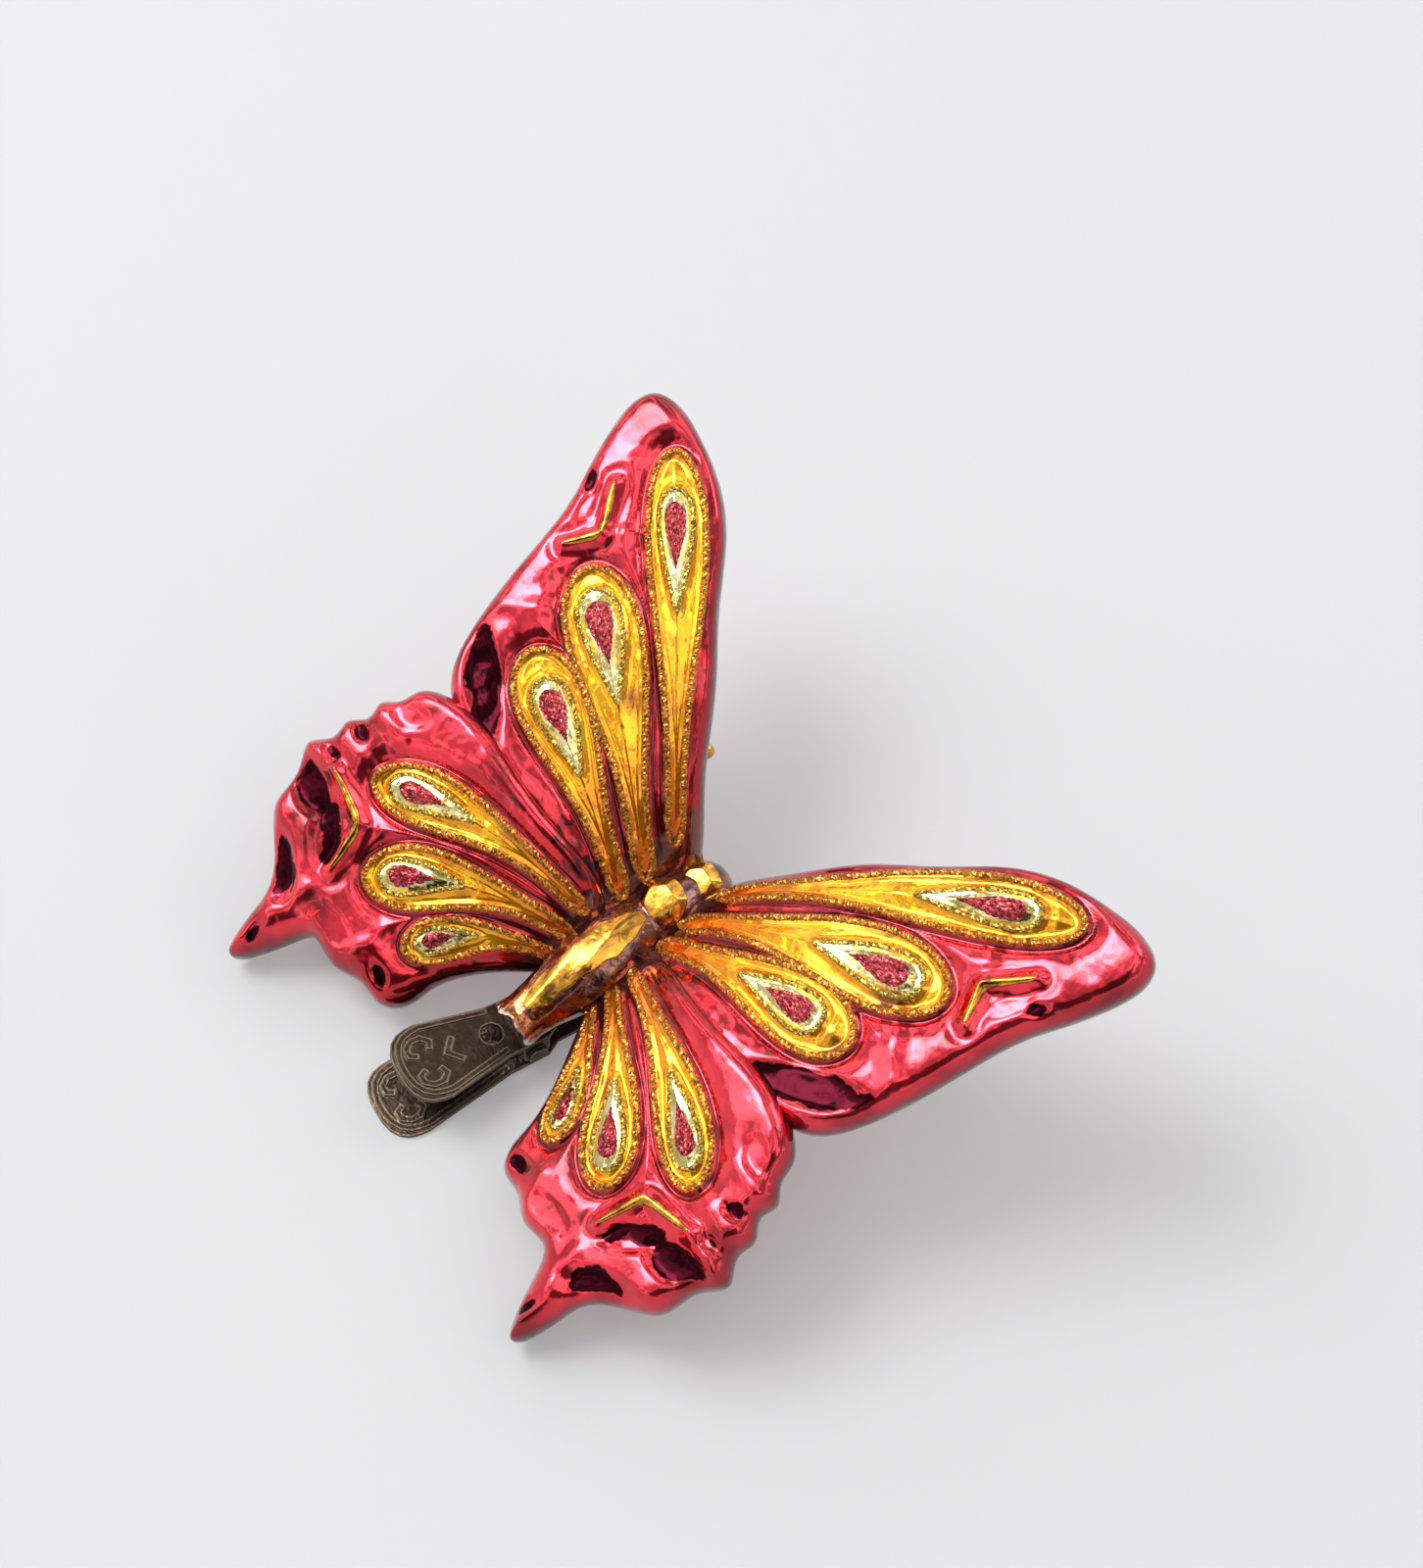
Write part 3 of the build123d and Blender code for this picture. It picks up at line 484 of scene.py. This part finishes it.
aubergine, shader, node, join = start_finish("aubergine_glaze_on_mirror")
shader.inputs["Metallic"].default_value = 0.9
shader.inputs["Coat Weight"].default_value = 1.0
shader.inputs["Coat Roughness"].default_value = 0.04
brown = between(node, join, clouds(node, join, 420.0, 4.0, 0.35, 0.65), (0.085, 0.022, 0.024), (0.34, 0.105, 0.055))
amber_end = between(node, join, flakes(node, join, 800.0)[0], (0.14, 0.020, 0.008), (0.55, 0.150, 0.022))
burnt = between(node, join, ragged(node, join, marked(node, "tail"), 500.0, 0.5, 0.40, 0.70), brown, amber_end)
# Painted shade: the bore inside the open lip is painted near black.
bore_painted_shade = between(node, join, marked(node, "bore_painted_shade"), burnt, (0.012, 0.006, 0.005))
join(between(node, join, marked(node, "lip"), bore_painted_shade, (0.78, 0.66, 0.58)), shader.inputs["Base Color"])
uneven(node, join, shader, 600.0, 0.0006, 0.08, 0.20)

turn = np.linspace(0, 2 * np.pi, 96, endpoint=False)[None, :]
stations = 0.5 - 0.5 * np.cos(np.linspace(0.0, np.pi, 150))
outside = trunk_back + (trunk_front - trunk_back) * stations[:, None]
bore = np.linspace(trunk_back + lip_bore_depth, trunk_back + 0.3, 16)[:, None]
inside = np.stack([lip_bore_radius * np.sin(turn) + 0 * bore, bore + 0 * turn,
                   smooth(bore, trunk_axis) + lip_bore_radius * np.cos(turn)], -1)
grid = np.concatenate([inside, trunk(outside, turn, 0.0)])
near_lip = hump(grid[..., 1] - trunk_back, 1.3)
grid[..., 1] += near_lip * (0.30 + 0.40 * np.sin(3 * turn + 0.6) + 0.25 * np.sin(7 * turn + 1.1))
marks = {"tail": np.clip((-19.0 - grid[..., 1]) / 5.0, 0, 1), "lip": hump(grid[..., 1] - trunk_back, 0.55),
         # The hollow mark is painted shade, set on the bore's rows only.
         "bore_painted_shade": 1.0 * (np.arange(len(grid)) < len(bore) - 1)[:, None] + 0 * near_lip}
piece = shell("glass_trunk", [(seat(grid), False, marks)], aubergine)
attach(piece, "ornament")
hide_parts("glass_body")

# Neck: the stub of the blown shell that stands in the clip's cup.
neck_middle, neck_low, neck_high, neck_radius = 3.4325, 7.4, 14.0, 2.6
rise = np.linspace(neck_low, neck_high, 14)[:, None]
neck = np.stack([neck_radius * np.cos(turn) + 0 * rise, neck_middle + neck_radius * np.sin(turn) + 0 * rise,
                 rise + 0 * turn], -1) / 1000
blank = np.zeros(neck.shape[:2])
piece = shell("glass_neck", [(neck, False, {"tail": blank, "lip": blank, "bore_painted_shade": blank})], aubergine)
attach(piece, "ornament")
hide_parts("glass_body")

# Gold fields: amber lacquer brushed into each teardrop over the mirror, redder towards the root.
# Each is a thin skin that follows the moulded glass and ends under its glitter line.
field_sink = 0.25


def field(drop, wing, start, stop, half_width, shape, lift, rows, crown):
    """Skin over a teardrop: rows along the spine, columns across the top and back underneath. The top stands lift
    above the glass and crowns in the middle, and both faces meet at the edge."""
    part = 0.5 - 0.5 * np.cos(np.linspace(0.02, np.pi - 0.02, rows))
    middle, run = spine(drop, start + part * (stop - start))
    side = np.stack([-run[:, 1], run[:, 0]], 1) * (half_width * drop_half(part, shape))[:, None]
    over = np.linspace(-1, 1, 21)
    across = np.concatenate([over, over[-2:0:-1]])
    x = middle[:, :1] + side[:, :1] * across
    y = middle[:, 1:] + side[:, 1:] * across
    face = np.arange(len(across)) < len(over)
    proud = np.where(face, lift + crown * (1 - across**2), -field_sink)
    proud = np.where(np.abs(across) > 0.999, -field_sink / 2, proud)
    z = wing_top(x, y, wing) + proud
    return np.stack([x, y, z], -1), part[:, None] + 0 * x, np.abs(across) + 0 * x


def on_sides(name, parts, finish, node_name, smooth=True):
    """Makes the right-hand piece and its left-hand twin, both riding on the ornament in place of their nodes."""
    for side, flip in (("right", 1.0), ("left", -1.0)):
        placed = [(seat(grid * [flip, 1, 1]), loops, values) for grid, loops, values in parts]
        piece = shell(f"{name}_{side}", placed, finish, smooth)
        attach(piece, "ornament")
        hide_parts(f"{node_name}_{side}")


gold_lacquer, shader, node, join = start_finish("amber_lacquer_on_mirror")
shader.inputs["Metallic"].default_value = 0.80
shader.inputs["Specular IOR Level"].default_value = 0.0
shader.inputs["Coat Weight"].default_value = 0.6
shader.inputs["Coat Roughness"].default_value = 0.03
amber = between(node, join, clouds(node, join, 240.0, 4.0, 0.34, 0.62), (0.82, 0.270, 0.003), (1.00, 0.490, 0.009))
smoky = between(node, join, clouds(node, join, 95.0, 2.0, 0.63, 0.74), amber, (0.28, 0.075, 0.006))
rooted = between(node, join, marked(node, "root"), smoky, (0.68, 0.085, 0.004))
join(between(node, join, marked(node, "rim"), rooted, (0.24, 0.055, 0.004)), shader.inputs["Base Color"])
uneven(node, join, shader, 380.0, 0.0004, 0.04, 0.12)

for pair, wing in (("fore", fore), ("hind", hind)):
    parts = []
    for drop in wing["drops"]:
        length = np.linalg.norm(np.subtract(drop[1], drop[0])) * half_span
        grid, part, across = field(drop, wing, 0.05, 1 - line_width * 0.5 / length,
                                   drop[2] * half_span - line_width * 0.5, drop_shape, 0.10, 70, 0.10)
        parts.append((grid, False, {"root": np.clip(0.85 - part * 1.9, 0, 0.75),
                                    "rim": np.clip((across - 0.80) / 0.20, 0, 1) * 0.8}))
    on_sides(f"amber_field_{pair}", parts, gold_lacquer, f"gold_drops_{pair}")

# Pale fields: champagne lacquer inside each eye.
pale_lacquer, shader, node, join = start_finish("champagne_lacquer_on_mirror")
shader.inputs["Metallic"].default_value = 1.0
shader.inputs["Coat Weight"].default_value = 1.0
shader.inputs["Coat Roughness"].default_value = 0.03
join(between(node, join, clouds(node, join, 300.0, 3.0, 0.35, 0.65), (0.48, 0.36, 0.08), (0.84, 0.72, 0.36)),
     shader.inputs["Base Color"])
uneven(node, join, shader, 500.0, 0.0004, 0.04, 0.12)

for pair, wing in (("fore", fore), ("hind", hind)):
    parts = [(field(d, wing, *d[4], d[2] * half_span * eye_width_share, eye_shape, 0.14, 40, 0.12)[0], False, {}) for d in wing["drops"]]
    on_sides(f"champagne_eye_{pair}", parts, pale_lacquer, f"pale_drops_{pair}")

# Glitter: coarse metal flakes in clear glue, drawn as a raised line round each teardrop and each eye,
# and dabbed in red on the middle of each eye. The flakes are the facets of an uneven bead.
grain = np.random.default_rng(11)


def bead(line, wing, half_width, tall, rough):
    """Half-round bead along a closed line on the glass: an ellipse across it, and each point moved a little at random."""
    run = np.roll(line, -1, 0) - np.roll(line, 1, 0)
    run /= np.linalg.norm(run, axis=1)[:, None]
    turn = np.linspace(0, 2 * np.pi, 11, endpoint=False)
    x = line[:, :1] - run[:, 1:] * half_width * np.cos(turn)
    y = line[:, 1:] + run[:, :1] * half_width * np.cos(turn)
    up = np.where(np.sin(turn) > 0, tall, 0.35) * np.sin(turn)
    z = wing_top(line[:, 0], line[:, 1], wing)[:, None] + up
    return np.stack([x, y, z], -1) + grain.normal(0, rough, (*x.shape, 3))


def glitter_finish(name, dark, light, scale):
    """Flakes as cells, each with its own shade between two colours, on a metal shader."""
    made, shader, node, join = start_finish(name)
    shader.inputs["Metallic"].default_value = 1.0
    shader.inputs["Coat Weight"].default_value = 0.3
    shader.inputs["Coat Roughness"].default_value = 0.10
    shader.inputs["Roughness"].default_value = 0.30
    shade, tall = flakes(node, join, scale)
    join(between(node, join, shade, dark, light), shader.inputs["Base Color"])
    bump = node("ShaderNodeBump")
    bump.inputs["Strength"].default_value = 0.6
    bump.inputs["Distance"].default_value = 0.0003
    join(tall, bump.inputs["Height"])
    join(bump.outputs["Normal"], shader.inputs["Normal"])
    return made


gold_glitter = glitter_finish("gold_glitter", (0.17, 0.042, 0.004), (0.68, 0.285, 0.034), 3400.0)
olive_glitter = glitter_finish("olive_glitter", (0.14, 0.080, 0.007), (0.60, 0.42, 0.075), 3400.0)
red_glitter = glitter_finish("red_glitter", (0.14, 0.004, 0.010), (0.66, 0.100, 0.110), 2600.0)
for pair, wing in (("fore", fore), ("hind", hind)):
    rims = [(bead(outer_line(d, int(8.4 * half_span * np.hypot(*np.subtract(d[1], d[0])))), wing, 0.55, 0.36, 0.05),
             True, {}) for d in wing["drops"]]
    on_sides(f"glitter_line_{pair}", rims, gold_glitter, f"outer_glitter_{pair}", smooth=False)
    eyes = [(bead(eye_line(d, 150), wing, 0.45, 0.32, 0.05), True, {}) for d in wing["drops"]]
    on_sides(f"glitter_eye_{pair}", eyes, olive_glitter, f"inner_glitter_{pair}", smooth=False)
    dabs = []
    for drop in wing["drops"]:
        start, stop = drop[4][0] + np.array([0.34, 0.88]) * (drop[4][1] - drop[4][0])
        grid = field(drop, wing, start, stop, drop[2] * half_span * dab_width_share, eye_shape, 0.30, 34, 0.25)[0]
        dabs.append((grid + grain.normal(0, 0.07, grid.shape), False, {}))
    on_sides(f"glitter_dab_{pair}", dabs, red_glitter, f"red_glitter_{pair}", smooth=False)

# Angles: gold paint along the moulded V near the outer edge of each wing.
gold_paint, shader, node, join = start_finish("gold_paint")
shader.inputs["Metallic"].default_value = 1.0
shader.inputs["Coat Weight"].default_value = 0.5
shader.inputs["Coat Roughness"].default_value = 0.06
join(between(node, join, clouds(node, join, 900.0, 4.0, 0.35, 0.65, (1.0, 0.18, 1.0)), (0.27, 0.080, 0.006),
             (0.86, 0.44, 0.040)), shader.inputs["Base Color"])
uneven(node, join, shader, 600.0, 0.0002, 0.10, 0.24)


def stroke(points, wing, half_width, tall):
    """Brush stroke along two straight arms with a softened corner, tapering to its ends, with an oval section."""
    s = np.linspace(0.02, 0.98, 60)[:, None]
    a, b, c = points
    soft = 0.12
    pull = np.clip((s - 0.5 + soft) / (2 * soft), 0, 1)
    first, second = a + (b - a) * np.minimum(s, 0.5) * 2, b + (c - b) * np.maximum(s - 0.5, 0) * 2
    line = np.where(s < 0.5, first, second)
    line = line + (a + c - 2 * b) * 0.06 * (4 * pull * (1 - pull)) ** 2
    run = np.gradient(line, axis=0)
    run /= np.linalg.norm(run, axis=1)[:, None]
    wide = half_width * np.sin(np.pi * s) ** 0.45
    turn = np.linspace(0, 2 * np.pi, 14, endpoint=False)
    x = line[:, :1] - run[:, 1:] * wide * np.cos(turn)
    y = line[:, 1:] + run[:, :1] * wide * np.cos(turn)
    z = wing_top(x, y, wing) + np.where(np.sin(turn) > 0, tall, 0.3) * np.sin(turn)
    return np.stack([x, y, z], -1)


for pair, wing in (("fore", fore), ("hind", hind)):
    on_sides(f"gold_angle_{pair}", [(stroke(wing["chevron"], wing, 0.75, 0.18), False, {})], gold_paint,
             f"chevron_{pair}")

# Gilding: gold paint brushed along the back of the trunk, and faceted gold caps on the collar and the head.


def gilding(back, front, spread, lift):
    """Skin on the trunk's back: an oval patch between two stations, its spread in radians either side of the top,
    with an edge left uneven by the brush."""
    s = np.linspace(0.02, 0.98, 90)[:, None]
    over = np.linspace(-1, 1, 25)
    across = np.concatenate([over, over[-2:0:-1]])[None, :]
    face = np.arange(across.shape[1])[None, :] < len(over)
    wide = spread * (1 - (2 * s - 1) ** 4) ** 0.5 * (1 + 0.10 * np.sin(11 * s) + 0.06 * np.sin(37 * s + across))
    lifted = np.where(face & (np.abs(across) < 0.999), lift, -0.2)
    return trunk(back + (front - back) * s + 0 * across, wide * across, lifted)


def cap(middle, radius, lean):
    """Faceted cap on a ball: the distance to the nearest of seven planes round the top, softened towards the ball,
    out to 54 degrees from its axis, which leans from upright."""
    out, turn = np.linspace(0.02, 0.95, 34)[:, None], np.linspace(0, 2 * np.pi, 60, endpoint=False)[None, :]
    way = np.stack([np.sin(out) * np.cos(turn), np.sin(out) * np.sin(turn), np.cos(out) + 0 * turn], -1)
    k = np.arange(6) * np.pi / 3 + 0.4
    planes = np.concatenate([[[0, 0, 1]], np.stack([0.78 * np.cos(k), 0.78 * np.sin(k), 0 * k + 0.626], 1)])
    reach = 0.945 / (way @ planes.T).max(-1)
    shape = way * (radius * np.minimum(0.25 + 0.75 * reach, 1.04) * np.where(out > 0.92, 0.88, 1.0))[..., None]
    c, s = np.cos(lean), np.sin(lean)
    return shape @ np.array([[1, 0, 0], [0, c, -s], [0, s, c]]).T + np.array(middle)


for name, node_name, skin in (
    ("gilt_back", "body_gold", gilding(-26.2, -3.4, 0.50, 0.14)),
    ("gilt_collar", "collar_gold", cap((0.0, 0.0, -3.5), collar_radius + 0.30, 0.15)),
    ("gilt_head", "head_gold", cap((0.0, head_forward, -6.9), head_radius + 0.30, 0.05)),
):
    piece = shell(name, [(seat(skin), False, {})], gold_paint)
    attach(piece, "ornament")
    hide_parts(node_name)

# Antennae: two drawn glass whips with a bead at the end, painted gold.
whip_points = np.array([(0.020, 0.110, -0.115), (0.140, 0.190, -0.065), (0.270, 0.335, -0.045)]) * half_span


def whip(points, radius, bead_radius):
    """Round rod along the parabola through three points, with a ball at its end: the section's radius is the greater
    of the tapering rod and the ball."""
    s = np.concatenate([np.linspace(0, 0.86, 40), 0.86 + 0.14 * np.sin(np.linspace(0.05, 1.54, 24))])[:, None]
    a, b, c = points
    line = a * (2 * s - 1) * (s - 1) + 4 * b * s * (1 - s) + c * s * (2 * s - 1)
    run = np.gradient(line, s[:, 0], axis=0)
    run /= np.linalg.norm(run, axis=1)[:, None]
    side = np.cross(run, [0, 0, 1.0])
    side /= np.linalg.norm(side, axis=1)[:, None]
    rise = np.cross(side, run)
    gone = np.linalg.norm(line - line[-1], axis=1)[:, None]
    ball = np.sqrt(np.maximum(bead_radius**2 - (gone - bead_radius) ** 2, 0))
    wide = np.maximum(radius * (1 - 0.25 * s) * (gone > bead_radius), ball)
    turn = np.linspace(0, 2 * np.pi, 20, endpoint=False)
    return line[:, None] + wide[:, None] * (side[:, None] * np.cos(turn)[:, None] + rise[:, None] * np.sin(turn)[:, None])


on_sides("gilt_antenna", [(whip(whip_points, 0.65, 1.25), False, {})], gold_paint, "antenna")

# Clip: two stamped sheet levers on a pin with a torsion spring, in dark bronze that is worn on its raised lines.
bronze, shader, node, join = start_finish("worn_bronze")
shader.inputs["Metallic"].default_value = 0.9
worn = between(node, join, clouds(node, join, 700.0, 5.0, 0.48, 0.80), (0.042, 0.027, 0.019), (0.095, 0.066, 0.046))
soft, faced, same = node("ShaderNodeBevel", samples=6), node("ShaderNodeNewGeometry"), node("ShaderNodeVectorMath")
soft.inputs["Radius"].default_value = 0.0005
same.operation = "DOT_PRODUCT"
join(soft.outputs["Normal"], same.inputs[0])
join(faced.outputs["Normal"], same.inputs[1])
edges = node("ShaderNodeMapRange")
edges.inputs["From Min"].default_value, edges.inputs["From Max"].default_value = 0.995, 0.86
join(same.outputs["Value"], edges.inputs["Value"])
join(between(node, join, edges.outputs["Result"], worn, (0.30, 0.225, 0.150)), shader.inputs["Base Color"])
uneven(node, join, shader, 1500.0, 0.0002, 0.30, 0.50)
for name in ("upper_lever", "lower_lever", "pivot_pin", "neck_cup", "rivet"):
    frame["nodes"][name].data.materials.clear()
    frame["nodes"][name].data.materials.append(bronze)

# Spring: one wire wound twice round the pin, with a leg against each handle.
wire_radius, coil_radius, coil_turns, coil_gap, leg_length = 0.3, 1.75, 2, 0.6, 7.0
steel, shader, node, join = start_finish("dark_spring_wire")
shader.inputs["Metallic"].default_value = 1.0
join(between(node, join, clouds(node, join, 1500.0, 3.0, 0.4, 0.7), (0.16, 0.15, 0.14), (0.40, 0.38, 0.36)),
     shader.inputs["Base Color"])
uneven(node, join, shader, 2500.0, 0.0001, 0.25, 0.40)

def coil_wire(leg_turns, count):
    """Wire of a torsion spring about X: a helix, and at each end a straight leg along the helix's own direction there.
    A circle stands across the line, on the way out from the axis and the way square to that."""
    first, last = leg_turns[0], (2 * coil_turns + 1) * np.pi - leg_turns[1]
    turn = np.concatenate([np.full(6, first), np.linspace(first, last, count), np.full(6, last)])
    ahead = np.concatenate([np.linspace(-leg_length, 0, 7)[:-1], np.zeros(count), np.linspace(0, leg_length, 7)[1:]])
    pitch = (2 * wire_radius + coil_gap) / (2 * np.pi)
    out = np.stack([0 * turn, np.sin(turn), np.cos(turn)], 1)
    run = np.stack([pitch + 0 * turn, coil_radius * np.cos(turn), -coil_radius * np.sin(turn)], 1)
    run /= np.linalg.norm(run, axis=1)[:, None]
    line = coil_radius * out + run * ahead[:, None]
    line[:, 0] += pitch * (turn - np.pi * (coil_turns + 0.5))
    round_wire = np.linspace(0, 2 * np.pi, 14, endpoint=False)[:, None]
    square = np.cross(run, out)[:, None]
    return line[:, None] + wire_radius * (out[:, None] * np.cos(round_wire) + square * np.sin(round_wire))


hinge = next(joint for joint in frame["joints"] if joint["name"] == "clip_hinge")
pin_middle, pin_way = np.array(hinge["pos_m"]), -np.array(hinge["axis"])
pin_frame = np.stack([pin_way, np.cross([0, 0, 1.0], pin_way), [0, 0, 1.0]])
wound = coil_wire((0.179, 0.079), 120) @ pin_frame / 1000 + pin_middle
piece = shell("wound_spring", [(wound, False, {})], steel)
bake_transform(piece)
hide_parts("torsion_spring")

# Stage: a plain pale floor, a soft light from the upper left of the picture, a weaker one opposite, and a pale room
# whose bright ceiling is uneven, with one dark doorway, as the mirrored glass shows in the photograph.
floor_mesh = bpy.data.meshes.new("floor")
floor_mesh.from_pydata([(-6, -6, 0), (6, -6, 0), (6, 6, 0), (-6, 6, 0)], [], [(0, 1, 2, 3)])
pale_floor, shader, node, join = start_finish("pale_floor")
shader.inputs["Base Color"].default_value = (0.37, 0.373, 0.38, 1.0)
shader.inputs["Emission Color"].default_value = (1.0, 0.99, 0.995, 1.0)
shader.inputs["Emission Strength"].default_value = 0.20
shader.inputs["Roughness"].default_value = 0.9
floor_mesh.materials.append(pale_floor)
floor = bpy.data.objects.new("floor", floor_mesh)
bpy.context.scene.collection.objects.link(floor)


def soft_light(name, place, aim, size, power):
    """Square area light at a place, turned so that its face looks at a point."""
    lamp = bpy.data.lights.new(name, "AREA")
    lamp.shape, lamp.size, lamp.energy = "SQUARE", size, power
    held = bpy.data.objects.new(name, lamp)
    back = np.array(place) - np.array(aim)
    back = back / np.linalg.norm(back)
    side = np.cross([0, 0, 1.0], back)
    side /= np.linalg.norm(side)
    turned = np.eye(4)
    turned[:3, :4] = np.stack([side, np.cross(back, side), back, np.array(place)], 1)
    held.matrix_world = Matrix(turned.tolist())
    bpy.context.scene.collection.objects.link(held)


soft_light("window", (-0.50, -0.25, 0.80), (0.0, 0.0, 0.02), 0.45, 4.0)
soft_light("fill", (0.10, 0.75, 0.70), (0.0, 0.0, 0.02), 0.40, 1.2)

room = bpy.data.worlds.new("room")
room.use_nodes = True
tree = room.node_tree
look = tree.nodes.new("ShaderNodeTexCoord").outputs["Generated"]


def ramp(value, begin, full, low, high):
    """A socket's value carried smoothly from low to high between begin and full."""
    spread = tree.nodes.new("ShaderNodeMapRange")
    spread.interpolation_type = "SMOOTHSTEP"
    for key, number in (("From Min", begin), ("From Max", full), ("To Min", low), ("To Max", high)):
        spread.inputs[key].default_value = number
    tree.links.new(value, spread.inputs["Value"])
    return spread.outputs["Result"]


def toward(way):
    """How far each direction of the room agrees with one of them: their dot product."""
    facing = tree.nodes.new("ShaderNodeVectorMath")
    facing.operation = "DOT_PRODUCT"
    facing.inputs[1].default_value = way
    tree.links.new(look, facing.inputs[0])
    return facing.outputs["Value"]


def times(first, second):
    """Product of two sockets."""
    product = tree.nodes.new("ShaderNodeMath")
    product.operation = "MULTIPLY"
    tree.links.new(first, product.inputs[0])
    tree.links.new(second, product.inputs[1])
    return product.outputs["Value"]


things = tree.nodes.new("ShaderNodeTexNoise")
things.inputs["Scale"].default_value = 3.0
tree.links.new(look, things.inputs["Vector"])
ceiling = ramp(toward((-0.33, -0.36, 0.87)), 0.66, 0.93, 1.12, 1.56)
skylight = ramp(toward((-0.40, -0.30, 0.866)), 0.955, 0.985, 1.0, 2.5)
doorway = ramp(toward((0.54, -0.65, 0.53)), 0.80, 0.95, 1.0, 0.04)
upper = times(times(times(ceiling, skylight), doorway), ramp(things.outputs["Fac"], 0.40, 0.60, 0.38, 1.70))
height = tree.nodes.new("ShaderNodeMix")
tree.links.new(ramp(toward((0.0, 0.0, 1.0)), 0.12, 0.38, 0.0, 1.0), height.inputs[0])
height.inputs[2].default_value = 0.80
tree.links.new(upper, height.inputs[3])
tree.links.new(height.outputs[0], tree.nodes["Background"].inputs["Strength"])
tree.nodes["Background"].inputs["Color"].default_value = (1.0, 1.0, 1.0, 1.0)
bpy.context.scene.world = room
bpy.context.scene.view_settings.view_transform = "Standard"

# Camera: above and ahead of the right wing, 0.5 m away, a little rolled.
camera = bpy.data.cameras.new("camera")
camera.sensor_fit, camera.sensor_width, camera.lens = "AUTO", 36.0, 74.87
camera.clip_start = 0.01
eye = bpy.data.objects.new("camera", camera)
eye.matrix_world = Matrix(((0.59053, -0.71491, 0.37440, 0.172045), (0.80604, 0.49971, -0.31717, -0.132252),
                           (0.03966, 0.48908, 0.87134, 0.449920), (0.0, 0.0, 0.0, 1.0)))
bpy.context.scene.collection.objects.link(eye)
bpy.context.scene.camera = eye
